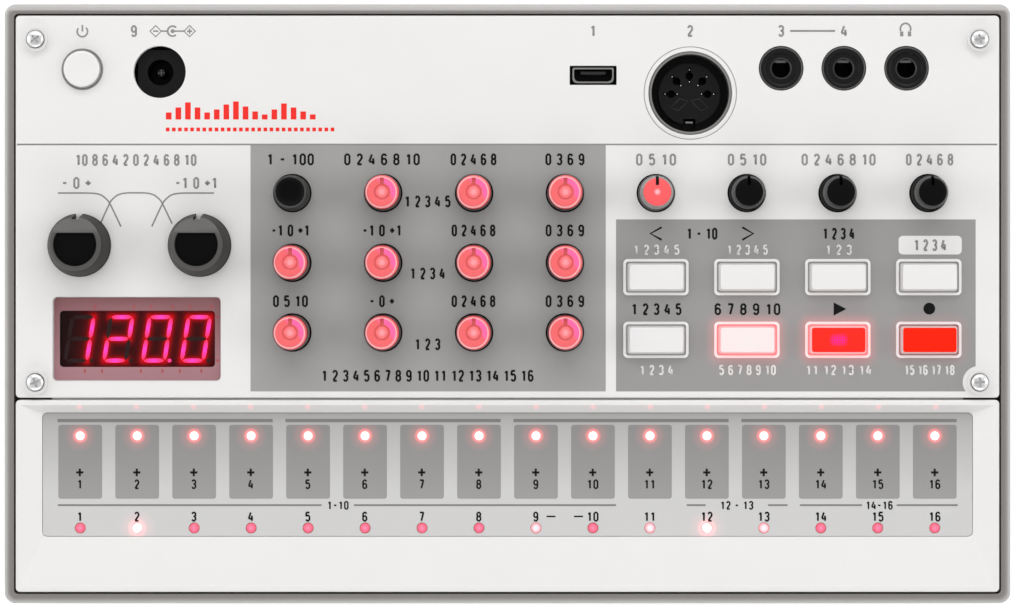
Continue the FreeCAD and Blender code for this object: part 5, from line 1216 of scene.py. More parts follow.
@dataclass
class PanelPrint:
    """What is printed on the white control panel: grey areas, rules, figures and plain symbols."""

    BUTTONS = ("reverse", "reverb", "mute", "function", "memory", "step_mode", "play", "record")
    level: float = 35.5
    layer: float = 0.03
    rule: float = 0.3
    left_area: tuple[float, float, float, float] = (250.6, 145.2, 605.7, 391.4)
    right_area: tuple[float, float, float, float] = (616.0, 219.5, 975.5, 391.4)
    screw: Spot = (90.25, -15.0)
    collar_opening: float = 3.1
    knob_opening: float = 3.7
    button_opening: Spot = (12.5, 6.95)
    opening_corner: float = 0.9
    power_ring_radii: Spot = (3.78, 4.0)
    panel_edges: Spot = (17, 997)
    panel_rule_down: float = 144.5
    socket_row: float = 31
    left_columns: tuple[float, ...] = (290.5, 382, 473.5, 564.9)
    group_column: float = 427.6
    right_columns: tuple[float, ...] = (656.4, 747.4, 838.6, 929.4)

    def build(self) -> None:
        """Lay the areas first, then every mark on them."""
        self.areas()
        self.grey_marks()
        self.black_marks()
        self.white_marks()
        self.red_marks()

    def areas(self) -> None:
        """The two grey areas, open round the knobs, the buttons and the right screw's collar; the left one is
        painted lighter against the knobs' shade.
        """
        printers = (Printer("panel_area_print_left", self.level, Shades.AREA_LEFT),
                    Printer("panel_area_print_right", self.level, Shades.AREA_RIGHT))
        left = printers[0].plate(*self.left_area)
        right = printers[1].plate(*self.right_area)
        drill(right, self.collar_opening, *self.screw, self.level)
        for button in self.BUTTONS:
            x, y = node_box(button + "_button")[2].xy
            opening = slab("opening", self.button_opening, self.opening_corner, [(0, -1), (0, 1)])
            carve(right, move(opening, x, y, self.level))
        for node in KnobSet.LEFT:
            x, y = node_box(node)[2].xy
            drill(left, self.knob_opening, x, y, self.level, 48)
        for printer in printers:
            printer.finish()

    def grey_marks(self) -> None:
        """Rules, filter curves, socket symbols and figures on the white, and a painted shade round the power
        opening.
        """
        ink = Printer("panel_grey_print", self.level, Shades.INK_GREY)
        ink.stroke([(across, self.panel_rule_down) for across in self.panel_edges], self.rule)
        self.power_symbol(ink)
        self.polarity_symbol(ink)
        self.headphone_symbol(ink)
        self.power_ring(ink)
        for number, across in enumerate((593, 690, 781, 844), start=1):
            ink.text(str(number), across, self.socket_row)
        ink.stroke([(790, self.socket_row), (835, self.socket_row)], 0.35)
        ink.text("10 8 6 4 2 0 2 4 6 8 10", 136, 160, 23.2)
        ink.row(183, (76.5, 196.3), ("- 0 +", 5.7), ("-1 0 +1", 8.2))
        curves = [
            [(58, 193), (75, 193), (93, 193), (101, 194.5), (106.5, 199), (110, 203), (121, 226.5)],
            [(101, 222.6), (109.5, 203), (113, 198.5), (119, 194), (128, 192.8), (136, 192.8), (144, 192.8),
             (153, 194), (159, 198.5), (162.5, 203), (172, 223.5)],
            [(152, 226.5), (162.5, 203), (166, 199), (171.5, 194.5), (180, 193), (196, 193), (214, 193)],
        ]
        for points in curves:
            ink.stroke(points, self.rule, curved=True)
        ink.row(159.6, (656, 747, 838.5, 929.5), ("0 5 10", 7.7), ("0 5 10", 7.4), ("0 2 4 6 8 10", 14.2),
                ("0 2 4 6 8", 9.1))
        ink.finish()

    def power_ring(self, ink: Printer) -> None:
        """A printed grey ring round the opening of the power button: painted shade of the opening's edge.

        Args:
            ink: the printer.
        """
        near, far = self.power_ring_radii
        x, y = node_box("power_button")[2].xy
        ring = turned("ring", [(far, 0), (far, self.layer)], 72)
        drill(ring, near, 0, 0)
        ink.keep(ring, x, y)

    def power_symbol(self, ink: Printer) -> None:
        """An open circle with a bar through its gap.

        Args:
            ink: the printer.
        """
        across, radius, line = 82.5, 5.2, 0.32
        ink.stroke(arc((across, 31.6), (radius, radius), range(-48, 230, 14)), line, curved=True)
        ink.stroke([(across, 25.0), (across, 31.5)], line)

    def polarity_symbol(self, ink: Printer) -> None:
        """Outer pole, centre pole and the arc between them.

        Args:
            ink: the printer.
        """
        level, half, sign, line = 31.2, 5.6, 2.6, 0.28
        outer, middle, centre = 155.8, 172.7, 189.7
        for across in (outer, centre):
            ink.stroke([(across - half, level), (across, level - half), (across + half, level),
                        (across, level + half), (across - half, level)], line)
            ink.stroke([(across - sign, level), (across + sign, level)], line)
        ink.stroke([(centre, level - sign), (centre, level + sign)], line)
        ink.stroke(arc((middle, level), (5.0, 5.0), range(48, 316, 14)), 0.34, curved=True)
        ink.dot(middle, level, 0.4)
        for left, right in ((161.4, 167.2), (173.5, 184.1)):
            ink.stroke([(left, level), (right, level)], line)
        ink.text("9", 134, level)

    def headphone_symbol(self, ink: Printer) -> None:
        """A head band with its two ear pads.

        Args:
            ink: the printer.
        """
        ink.stroke(arc((905.4, 29), (5.2, 5.6), range(-202, 23, 14)), 0.34, curved=True)
        for across in (901.6, 909.4):
            ink.stroke([(across, 31.6), (across, 36.4)], 0.62)

    def black_marks(self) -> None:
        """Figures over the knobs, group figures and the button symbols on the grey areas."""
        ink = Printer("panel_black_print", self.level + self.layer, Shades.INK_BLACK)
        rows = [
            (159.4, (("1 - 100", 9.0), ("0 2 4 6 8 10", 14.5), ("0 2 4 6 8", 8.8), ("0 3 6 9", 7.5))),
            (230.5, (("-1 0 +1", 7.4), ("-1 0 +1", 7.6), ("0 2 4 6 8", 8.4), ("0 3 6 9", 7.4))),
            (301.2, (("0 5 10", 6.7), ("- 0 +", 4.9), ("0 2 4 6 8", 8.4), ("0 3 6 9", 7.4))),
        ]
        for down, labels in rows:
            ink.row(down, self.left_columns, *labels)
        groups = ((201.5, "1 2 3 4 5", 8.8), (273.5, "1 2 3 4", 6.7), (344.3, "1 2 3", 4.9),
                  (375.8, "1 2 3 4 5 6 7 8 9 10 11 12 13 14 15 16", 40.6))
        for down, words, width in groups:
            ink.text(words, self.group_column, down, width)
        ink.row(233.7, (702, 838.6), ("1 - 10", 5.9), ("1 2 3 4", 6.1))
        ink.row(309.2, self.right_columns, ("1 2 3 4 5", 9.6), ("6 7 8 9 10", 12.6))
        for tip, back in ((650.4, 661.6), (753.2, 742.2)):
            ink.stroke([(back, 227.3), (tip, 233.6), (back, 239.9)], 0.4)
        triangle = turned("play", [(1.48, 0), (1.48, self.layer)], 3)
        move(triangle, 0, 0, 0, -90)
        triangle.data.transform(Matrix.Diagonal((1.1, 0.98, 1, 1)))
        ink.keep(triangle, *VIEW.at(837.8, 309, self.level))
        ink.dot(929.2, 308.6, 1.13)
        ink.finish()

    def white_marks(self) -> None:
        """The light figures under the buttons and the light block behind one of them."""
        ink = Printer("panel_white_print", self.level + self.layer, Shades.INK_WHITE, figure=2.0)
        ink.plate(898.5, 235.8, 961.6, 254.5, 0.8)
        upper = (("1 2 3 4 5", 8.8), ("1 2 3 4 5", 7.8), ("1 2 3", 5.0))
        lower = (("1 2 3 4", 6.4), ("5 6 7 8 9 10", 10.9), ("11 12 13 14", 12.6), ("15 16 17 18", 9.6))
        for down, labels in ((249.8, upper), (370.0, lower)):
            ink.row(down, self.right_columns, *labels)
        ink.finish()
        over = Printer("panel_label_print", self.level + 2 * self.layer, Shades.INK_GREY)
        over.text("1 2 3 4", 930, 245.2, 6.2)
        over.finish()

    def red_marks(self) -> None:
        """A plain red row of sixteen steps over a row of dashes."""
        ink = Printer("panel_red_print", self.level, Shades.INK_RED)
        left, foot = 166.0, 119.5
        for step, rise in enumerate((7, 12, 17, 12, 7, 10, 15, 18, 13, 8, 5, 10, 16, 12, 8, 5)):
            across = left + step * 9.6
            ink.plate(across, foot - rise, across + 5.6, foot)
        for step in range(28):
            across = left + step * 6.1
            ink.plate(across, 127.6, across + 3.6, 131.4)
        ink.finish()


@dataclass
class Keyboard:
    """The touch sheet's prints and its two rows of lamps."""

    level: float = 33.1
    layer: float = 0.02
    keys: int = 16
    first_px: float = 79.9
    pitch_px: float = 56.98
    pad_size: Spot = (8.4, 14.2)
    pad_corner: float = 0.5
    pad_rows: Spot = (424.6, 498.9)
    bar_left: float = 57.6
    bar_length: float = 215.2
    bar_rows: Spot = (418.8, 422.2)
    rule_rows: Spot = (504.2, 506.0)
    key_figures: tuple[Spot, Spot] = ((484.2, 1.9), (516.6, 1.95))
    rule_figure: float = 1.7
    lamp_radius: float = 0.95
    lamp_top: float = 33.4
    lamp_foot: float = 31.9

    def build(self) -> None:
        """Print the sheet, then set the lamps."""
        self.pads()
        self.bars()
        self.figures()
        self.lamps()

    def printer(self, name: str, layers: int, ink: Finish) -> Printer:
        """A printer on the sheet, over a number of layers of ink."""
        return Printer(name, self.level + layers * self.layer, ink, slot="overlay_grey", thickness=self.layer)

    def pads(self) -> None:
        """Sixteen key areas, each open round its lamp."""
        pad = slab("pad", self.pad_size, self.pad_corner, [(0, 0), (0, self.layer)])
        middle = VIEW.at(0, sum(self.pad_rows) / 2, self.level)[1]
        drill(pad, self.lamp_radius, 0, REAR_ROW - middle, sides=32)
        for index in range(self.keys):
            piece = twin(pad, f"key_area_{index + 1:02d}", FIRST_KEY + index * KEY_PITCH, middle, self.level)
            fit(piece, "overlay_grey", Shades.PADS)
        put_away(pad)

    def bars(self) -> None:
        """Four group bars over the keys and the fine rules under them."""
        bars = self.printer("keyboard_bar_print", 0, Shades.BAR_GREY)
        top, foot = self.bar_rows
        for group in range(4):
            left = self.bar_left + group * 4 * self.pitch_px
            bars.plate(left, top, left + self.bar_length, foot)
        top, foot = self.rule_rows
        for left, right in ((58, 321.6), (354, 616), (686.7, 705.6), (767.9, 787.5), (799.8, 861.9),
                            (896.6, 957.6)):
            bars.plate(left, top, right, foot)
        bars.finish()

    def figures(self) -> None:
        """The key figures, a small mark over each, and the figures over the front lamps."""
        ink = self.printer("keyboard_figure_print", 1, Shades.INK_BLACK)
        for index in range(self.keys):
            across = self.first_px + index * self.pitch_px
            ink.stroke([(across - 3.6, 472.4), (across + 3.6, 472.4)], 0.42)
            ink.stroke([(across, 468.6), (across, 476.2)], 0.42)
            for down, height in self.key_figures:
                ink.figure = height
                ink.text(str(index + 1), across, down)
        ink.figure = self.rule_figure
        ink.row(505.3, (338, 736.8, 879.2), ("1-10", 0), ("12 - 13", 0), ("14-16", 0))
        for left, right in ((546.5, 555.5), (574, 583)):
            ink.stroke([(left, 516.4), (right, 516.4)], 0.3)
        ink.finish()

    def lamps(self) -> None:
        """Thirty-two low domed lamps, each moulded with a foot in the sheet."""
        radius, top = self.lamp_radius, self.lamp_top
        lamp = turned("lamp", [
            (radius, self.lamp_foot), (radius, top - 0.27), (0.9 * radius, top - 0.17),
            (0.74 * radius, top - 0.08), (0.5 * radius, top - 0.03), (0.25 * radius, top - 0.006),
            (0, top)], 32)
        smooth(lamp, 50)
        for row, name in ((REAR_ROW, "rear"), (FRONT_ROW, "front")):
            for number in range(1, self.keys + 1):
                x = FIRST_KEY + (number - 1) * KEY_PITCH
                piece = twin(lamp, f"{name}_lamp_{number:02d}", x, row)
                fit(piece, "lamp_red", self.light(name, number), nodes=["keyboard_lamps"])
        put_away(lamp)

    def light(self, row: str, number: int) -> Finish:
        """How brightly a lamp is lit in the photograph.

        Args:
            row: rear or front.
            number: the lamp, counted from the left.

        Returns:
            The lamp's finish.
        """
        if row == "rear":
            return Shades.LAMP_HOT
        if number in (2, 12):
            return Shades.LAMP_BRIGHT
        return Shades.LAMP_HALF if number in (9, 11, 13) else Shades.LAMP_DIM


@dataclass
class KnobSet:
    """The sixteen small knobs: eleven lit, one lit in a grey ring, three black and the encoder's."""

    LEFT = ("sample_select_knob", "start_point_knob", "length_knob", "high_cut_knob", "speed_knob",
            "pitch_depth_knob", "pitch_attack_knob", "pitch_decay_knob", "level_knob", "pan_knob",
            "level_attack_knob", "level_decay_knob")
    BLACK = ("swing_knob", "reverb_knob", "volume_knob")
    radius: float = 3.4
    shaft: float = 3.0
    foot: float = 26.1
    shoulder: float = 31.6
    top: float = 44.1
    face_radius: float = 2.65
    ribs: int = 48

    def base(self) -> list[Ring]:
        """The rings of the shaft and the shoulder under the panel."""
        return [(self.shaft, self.foot), (self.shaft, self.shoulder), (self.radius, self.shoulder)]

    def build(self) -> None:
        """Model each kind once and copy it to its places."""
        lit = self.lit_knob()
        for node in self.LEFT[1:]:
            stand_in(lit, node, "knob_red", Shades.KNOB_RED, Shades.KNOB_NOTCH)
        black = self.ribbed_knob()
        for node in self.BLACK:
            stand_in(black, node, "knob_black", Shades.KNOB_SIDE, Shades.KNOB_BLACK, Shades.KNOB_FACE,
                     Shades.KNOB_FACE)
        stand_in(black, "tempo_knob", "knob_red", Shades.TEMPO_SIDE, Shades.TEMPO_FACE, Shades.KNOB_SIDE,
                 Shades.TEMPO_FOOT)
        encoder = self.encoder_knob()
        stand_in(encoder, "sample_select_knob", "knob_black", Shades.KNOB_SIDE, Shades.KNOB_FACE)
        put_away(lit, black, encoder)

    def notch(self, near: float, far: float, width: float, floor: float) -> Piece:
        """The tool that cuts a pointer notch towards the rear."""
        tool = slab("tool", (width, far - near), 0, [(0, floor), (0, self.top + 1)])
        return move(tool, 0, (near + far) / 2)

    def lit_knob(self) -> Piece:
        """Straight side, wide bevel, flat face with a low dome and a pointer notch.

        Returns:
            The knob, about its own axis.
        """
        top = self.top
        knob = turned("lit_knob", self.base() + [
            (self.radius, top - 1.75), (3.38, top - 1.3), (3.27, top - 1.08), (2.78, top - 0.42),
            (self.face_radius, top - 0.31), (2.5, top - 0.29), (1.56, top - 0.36), (1.42, top - 0.42),
            (1.3, top - 0.4), (1.22, top - 0.27), (1.05, top - 0.14), (0.8, top - 0.06), (0.4, top - 0.012),
            (0, top)], 72)
        carve(knob, self.notch(1.45, 2.72, 0.72, top - 0.6))
        smooth(knob, 28)
        paint(knob, 1, self.in_notch)
        return knob

    def in_notch(self, spot: Vector, normal: Vector) -> bool:
        """Whether a face of the lit knob is the floor or a wall of its pointer notch."""
        inside = abs(spot.x) <= 0.38 and 1.4 <= spot.y <= 2.8 and spot.z < self.top - 0.32
        return inside and (max(abs(normal.x), abs(normal.y)) > 0.9 or normal.z > 0.99)

    def ribbed_knob(self) -> Piece:
        """Fine ribs round the side, a bevel and a flat face with a pointer notch.

        Returns:
            The knob, about its own axis.
        """
        top = self.top
        knob = turned("ribbed_knob", self.base() + [
            (self.radius, 38.6), (3.3, 38.85), (3.18, 38.9), (3.14, 39.2), (3.14, top - 1.5),
            (3.06, top - 1.25), (2.66, top - 0.24), (2.56, top - 0.1), (2.44, top - 0.06), (1.4, top - 0.02),
            (0, top)], 2 * self.ribs)
        step = math.tau / (2 * self.ribs)
        scale_where(knob, 0.955, lambda spot: (
            Vector((spot.x, spot.y)).length > 2.9 * MM and spot.z > 39.1 * MM
            and round((math.atan2(spot.y, spot.x) + math.tau) / step) % 2 == 1))
        carve(knob, self.notch(1.3, 3.6, 0.6, top - 3.2))
        smooth(knob, 24)
        paint(knob, 3, lambda spot, normal: spot.z < 39.0)
        paint(knob, 1, lambda spot, normal: spot.z > top - 0.25 and normal.z > 0.5)
        # Painted shade in the pointer notch.
        paint(knob, 2, lambda spot, normal: (
            abs(spot.x) < 0.31 and 1.25 < spot.y < 3.0 and top - 3.3 < spot.z < top - 0.3))
        return knob

    def encoder_knob(self) -> Piece:
        """Flared towards its top, with a hollow face and no pointer.

        Returns:
            The knob, about its own axis.
        """
        top = self.top
        knob = turned("encoder_knob", self.base() + [
            (self.radius, 37.4), (3.34, 37.9), (3.1, 38.3), (2.62, 39.4), (2.5, 40.2), (2.56, 41.2),
            (2.8, 42.6), (3.05, 43.6), (3.1, 43.88), (3.04, 44.04), (2.92, top), (2.74, top - 0.04),
            (2.5, top - 0.22), (2.0, top - 0.4), (1.3, top - 0.48), (0.6, top - 0.5), (0, top - 0.5)], 72)
        smooth(knob, 32)
        # Painted shade in the hollow face.
        paint(knob, 1, lambda spot, normal: spot.xy.length < 2.7 and normal.z > 0.5)
        return knob


@dataclass
class Isolators:
    """The two tall knobs: skirt, tapered side, half-round hollow face, slanted facet and groove."""

    radius: float = 6.05
    top_radius: float = 4.95
    foot: float = 35.8
    top: float = 45.0
    skirt: float = 1.0
    dish_radius: float = 4.25
    dish_depth: float = 0.55
    straight_edge: float = 2.2
    facet_drop: float = 1.3
    groove_width: float = 1.35
    groove_floor: float = 4.8
    step_size: Spot = (1.27, 0.75)
    step_depth: float = 0.12

    def build(self) -> None:
        """Model one and copy it to both shafts."""
        model = self.knob()
        for side in ("bass", "treble"):
            stand_in(model, side + "_knob", "knob_grey", Shades.ISOLATOR_SIDE, Shades.KNOB_FACE,
                     Shades.KNOB_GREY, body=side + "_isolator")
        put_away(model)

    def knob(self) -> Piece:
        """One tall knob with all its cuts.

        Returns:
            The knob, about its own axis.
        """
        top = self.top
        knob = turned("isolator", [
            (self.radius - 0.12, self.foot), (self.radius, self.foot + 0.12),
            (self.radius, self.foot + self.skirt), (self.radius - 0.1, self.foot + self.skirt + 0.12),
            (5.2, top - 1.2), (self.top_radius + 0.06, top - 0.25), (self.top_radius - 0.1, top - 0.06),
            (self.top_radius - 0.3, top)], 96)
        self.slant(knob)
        carve(knob, self.hollow(), self.groove(), self.step())
        smooth(knob, 26)
        # Painted highlight on the upward faces round the top; painted shade on the half-round face.
        paint(knob, 2, lambda spot, normal: normal.z > 0.5 and spot.z > top - 1.6)
        paint(knob, 1, lambda spot, normal: (
            spot.z < top - self.dish_depth + 0.02 and spot.xy.length < self.dish_radius and normal.z > 0.9
            and spot.y < self.straight_edge + 0.05))
        return knob

    def slant(self, knob: Piece) -> None:
        """Cut the rear of the top away along a plane that drops to the rear."""
        normal = Vector((0, self.facet_drop, self.top_radius - self.straight_edge)).normalized()
        cut_away(knob, (0, self.straight_edge + 0.15, self.top - 0.02), normal)

    def hollow(self) -> Piece:
        """The tool that sinks the half-round face.

        Returns:
            The tool, in place.
        """
        radius, floor = self.dish_radius, self.top - self.dish_depth
        tool = turned("tool", [(radius - 0.25, floor), (radius, self.top + 0.6)], 88)
        cut_away(tool, (0, self.straight_edge, 0), (0, 1, 0))
        return tool

    def groove(self) -> Piece:
        """The tool that cuts the pointer groove down the whole side."""
        tool = slab("tool", (self.groove_width, 3.0), 0, [(0, self.foot - 1), (0, self.top + 1)])
        return move(tool, 0, self.groove_floor + 1.5)

    def step(self) -> Piece:
        """The tool that cuts the shallow end of the groove into the facet.

        Returns:
            The tool, in place.
        """
        slope = self.facet_drop / (self.top_radius - self.straight_edge)
        y = self.groove_floor - self.step_size[1] / 2
        level = self.top - 0.02 - (y - self.straight_edge - 0.15) * slope
        beyond_edge = 0.6
        tool = slab(
            "tool", (self.step_size[0], self.step_size[1] + beyond_edge), 0, [(0, -self.step_depth), (0, 1)])
        move(tool, 0, beyond_edge / 2)
        tool.data.transform(Matrix.Rotation(-math.atan(slope), 4, "X"))
        return move(tool, 0, y, level)


@dataclass
class Buttons:
    """The eight caps with a flange and stem under the panel, and the round power cap."""

    WHITE = ("reverse_button", "reverb_button", "mute_button", "function_button", "memory_button")
    size: Spot = (10.9, 5.35)
    flange: Spot = (12.1, 6.55)
    corner: float = 0.6
    stem_radius: float = 1.5
    stem_end: float = 25.1
    flange_under: float = 32.2
    flange_top: float = 33.2
    straight_top: float = 36.4
    top: float = 38.3
    taper: float = 0.34
    power_radius: float = 3.66

    def build(self) -> None:
        """Model one cap and copy it, then turn the power cap."""
        model = self.cap()
        for node in self.WHITE:
            stand_in(model, node, "button_white", Shades.CAP_SKIRT, Shades.CAP_WHITE)
        stand_in(model, "step_mode_button", "button_white", Shades.SKIRT_ROSE, Shades.CAP_ROSE)
        stand_in(model, "play_button", "button_red", Shades.SKIRT_ROSE, Shades.CAP_PLAY)
        stand_in(model, "record_button", "button_red", Shades.SKIRT_WARM, Shades.CAP_RECORD)
        put_away(model)
        self.power()

    def cap(self) -> Piece:
        """Tapered cap with a rounded edge, on its flange and stem.

        Returns:
            The cap, about its own axis.
        """
        reach = (self.flange[0] - self.size[0]) / 2
        cap = slab("cap", self.size, self.corner, [
            (-reach, self.flange_under), (-reach, self.flange_top), (0, self.flange_top),
            (0, self.straight_top), (self.taper - 0.06, self.top - 0.18), (self.taper, self.top - 0.09),
            (self.taper + 0.1, self.top - 0.015), (self.taper + 0.18, self.top)], 5)
        stem = turned("stem", [
            (self.stem_radius - 0.2, self.stem_end), (self.stem_radius, self.stem_end + 0.2),
            (self.stem_radius, self.flange_under + 0.3)], 32)
        carve(cap, stem, how="UNION")
        smooth(cap, 34)
        paint(cap, 1, lambda spot, normal: spot.z > self.top - 0.1)
        return cap

    def power(self) -> None:
        """Round white cap with a softly rounded edge and a slightly hollow face, its side painted grey as
        shade.
        """
        low, high, middle = node_box("power_button")
        top = high.z
        flange = (high.x - low.x) / 2
        cap = turned("power_button_cap", [
            (self.stem_radius, low.z), (self.stem_radius, self.flange_under), (flange, self.flange_under),
            (flange, self.flange_top), (self.power_radius, self.flange_top), (self.power_radius, top - 1.5),
            (3.6, top - 0.8), (3.42, top - 0.14), (3.26, top - 0.04), (3.04, top), (2.9, top - 0.02),
            (1.5, top - 0.08), (0, top - 0.1)], 72)
        smooth(cap, 34)
        paint(cap, 1, lambda spot, normal: spot.z > top - 0.12)
        move(cap, middle.x, middle.y)
        fit(cap, "case_white", Shades.POWER_RING, Shades.CAP_WHITE, body="power_button",
            nodes=["power_button"])


@dataclass
class PanelScrews:
    """Four domed chrome screws with a cross recess."""

    places: tuple[tuple[float, float, float], ...] = (
        (-90.25, 50.6, 38), (90.25, 50.6, 12), (-90.25, -15.0, 22), (90.25, -15.0, 4))
    seat: float = 36.8
    head: float = 1.78
    crown: float = 0.95
    shank: float = 1.2
    end: float = 21.9
    recess: Spot = (1.9, 0.36)

    def build(self) -> None:
        """Model one screw and copy it to the four corners."""
        seat = self.seat
        screw = turned("screw", [
            (0.5, self.end), (self.shank, self.end + 0.9), (self.shank, seat), (self.head - 0.06, seat),
            (self.head, seat + 0.1), (self.head, seat + 0.22), (self.head - 0.17, seat + 0.5),
            (1.4, seat + 0.7), (1.0, seat + 0.84), (0.5, seat + 0.93), (0, seat + self.crown)], 48)
        cross_cut(screw, self.recess, 0.06, [(0.04, seat + 0.4), (0, seat + 1.3)])
        smooth(screw, 30)
        # Painted shadow: a dark ring round the side of the head.
        paint(screw, 1, lambda spot, normal: spot.xy.length > self.head - 0.2 and spot.z < seat + 0.45)
        for index, (x, y, turn) in enumerate(self.places, start=1):
            piece = twin(screw, f"panel_screw_{index}", x, y, 0, turn)
            fit(piece, "screw_chrome", Shades.CHROME, Shades.SCREW_EDGE, nodes=["panel_screws"])
        put_away(screw)


class Bar(Enum):
    """The seven bars of a figure, as the ends of each in half widths and half heights."""

    TOP = ((-1, 1), (1, 1))
    UPPER_RIGHT = ((1, 1), (1, 0))
    LOWER_RIGHT = ((1, 0), (1, -1))
    BOTTOM = ((-1, -1), (1, -1))
    LOWER_LEFT = ((-1, 0), (-1, -1))
    UPPER_LEFT = ((-1, 1), (-1, 0))
    MIDDLE = ((-1, 0), (1, 0))


@dataclass
class Display:
    """The four figure display behind its tinted window."""

    FIGURES = {
        "0": (Bar.TOP, Bar.UPPER_RIGHT, Bar.LOWER_RIGHT, Bar.BOTTOM, Bar.LOWER_LEFT, Bar.UPPER_LEFT),
        "1": (Bar.UPPER_RIGHT, Bar.LOWER_RIGHT),
        "2": (Bar.TOP, Bar.UPPER_RIGHT, Bar.MIDDLE, Bar.LOWER_LEFT, Bar.BOTTOM),
    }
    shown: str = "1200"
    point_after: int = 2
    centre: Spot = (-71.0, -6.725)
    face: float = 33.1
    face_size: Spot = (29.8, 10.8)
    face_corner: float = 0.7
    pitch: float = 7.45
    size: Spot = (4.9, 9.1)
    lean: float = 9.0
    bar: float = 0.76
    gap: float = 0.2
    thickness: float = 0.2
    cell: float = 0.2
    print_gap: float = 0.02

    def build(self) -> None:
        """Housing and bars, then the sheets that take light from the bars."""
        self.housing()
        self.bars()
        self.sheets()

    def housing(self) -> None:
        """The block under the window."""
        low, high, middle = node_box("display_module")
        block = slab("display_housing", (high.x - low.x, high.y - low.y), 0.2, [
            (0.15, low.z), (0, low.z + 0.15), (0, high.z - 0.1), (0.1, high.z)])
        move(block, middle.x, middle.y)
        fit(block, "module_black", Shades.HOUSING, nodes=["display_module"])

    def sheet(self, name: str, size: Spot, corner: float, level: float, thickness: float) -> Piece:
        """A thin plate whose top is divided finely enough to carry a smooth light.

        Args:
            name: the piece's name.
            size: width and depth.
            corner: corner radius.
            level: height of its underside.
            thickness: its thickness.

        Returns:
            The plate, about the display's centre.
        """
        cells = round(size[0] / self.cell), round(size[1] / self.cell)
        piece = close_up(grid_plate(name, size, cells, thickness))
        outline = slab("outline", size, corner, [(0.001, -1), (0.001, 1)], 5)
        carve(piece, outline, how="INTERSECT")
        return move(piece, *self.centre, level)

    def light_up(self, piece: Piece, strength: Callable[[Spot], float]) -> None:
        """Keep a strength for each corner of a piece as its halo attribute.

        Args:
            piece: the piece.
            strength: the strength by a corner's place.
        """
        halo = piece.data.attributes.new("halo", "FLOAT", "POINT")
        for corner, value in zip(piece.data.vertices, halo.data):
            value.value = strength((corner.co.x / MM, corner.co.y / MM))

    def lit_lines(self) -> list[tuple[Spot, Spot]]:
        """The centre lines of the lit bars.

        Returns:
            The two ends of each, in place.
        """
        lines = []
        for place, figure in enumerate(self.shown):
            for bar in self.FIGURES[figure]:
                ends = [self.slant() @ Vector((x, y, 0)) for x, y in self.outline(bar)]
                lines.append(tuple((end.x + self.figure_x(place), end.y + self.centre[1]) for end in ends))
        return lines

    def sheets(self) -> None:
        """The dark face with a painted glow round the lit bars, and the print that borders the window."""
        lines = self.lit_lines()

        def haze(spot: Spot) -> float:
            """Painted glow: a bright edge round the nearest lit bar and a wide faint glow beyond it."""
            away = min(distance_to(spot, line) for line in lines)
            return 0.55 * math.exp(-max(away - self.bar / 2, 0) / 0.34) + 0.11 * math.exp(-away / 1.9)

        face = self.sheet("display_face", self.face_size, self.face_corner, self.face - 0.05, 0.12)
        self.light_up(face, haze)
        fit(face, "module_black", Shades.MODULE)
        low, high, middle = node_box("display_window")
        size = (high.x - low.x - 0.1, high.y - low.y - 0.1)
        border = slab("display_border", size, 0.75, [(0, 0), (0, self.print_gap)], 5)
        move(border, middle.x, middle.y, low.z + self.print_gap)
        sight = slab("sight", self.face_size, self.face_corner, [(0, -1), (0, 1)], 5)
        carve(border, move(sight, *self.centre, low.z))
        fit(border, "window_tint", Shades.BORDER)
        self.glints(low.z + 2 * self.print_gap)

    def glints(self, level: float) -> None:
        """Faint red spots on the border beyond the ends of the outer bars: painted reflections of the lit
        bars.

        Args:
            level: the height that they lie at.
        """
        thickness = 0.01
        marks = Printer("display_glints", level, Shades.GLINT, slot="segment_red", thickness=thickness)
        upright = {Bar.UPPER_RIGHT: 1, Bar.UPPER_LEFT: 1, Bar.LOWER_RIGHT: -1, Bar.LOWER_LEFT: -1}
        for place, figure in enumerate(self.shown):
            for bar in (bar for bar in upright if bar in self.FIGURES[figure]):
                x = self.outline(bar)[0][0]
                rise = upright[bar] * (self.face_size[1] / 2 + 0.75)
                dot = turned("glint", [(0.27, 0), (0.27, thickness)], 20)
                dot.data.transform(Matrix.Diagonal((0.8, 1.5, 1, 1)))
                marks.keep(dot, self.figure_x(place) + x + self.drift(rise), self.centre[1] + rise)
        edge = self.centre[0] + self.face_size[0] / 2 + 0.5
        for side in (1, -1):
            dot = turned("glint", [(0.26, 0), (0.26, thickness)], 20)
            marks.keep(dot, edge, self.centre[1] + side * (self.size[1] - self.bar) / 2)
        marks.finish()

    def figure_x(self, place: int) -> float:
        """The middle of a figure's place across."""
        return self.centre[0] + (place - 1.5) * self.pitch

    def outline(self, bar: Bar) -> tuple[Spot, Spot]:
        """A bar's centre line in an upright figure.

        Args:
            bar: the bar.

        Returns:
            Its two ends.
        """
        half_width = (self.size[0] - self.bar) / 2
        half_height = (self.size[1] - self.bar) / 2
        (x0, y0), (x1, y1) = bar.value
        return (x0 * half_width, y0 * half_height), (x1 * half_width, y1 * half_height)

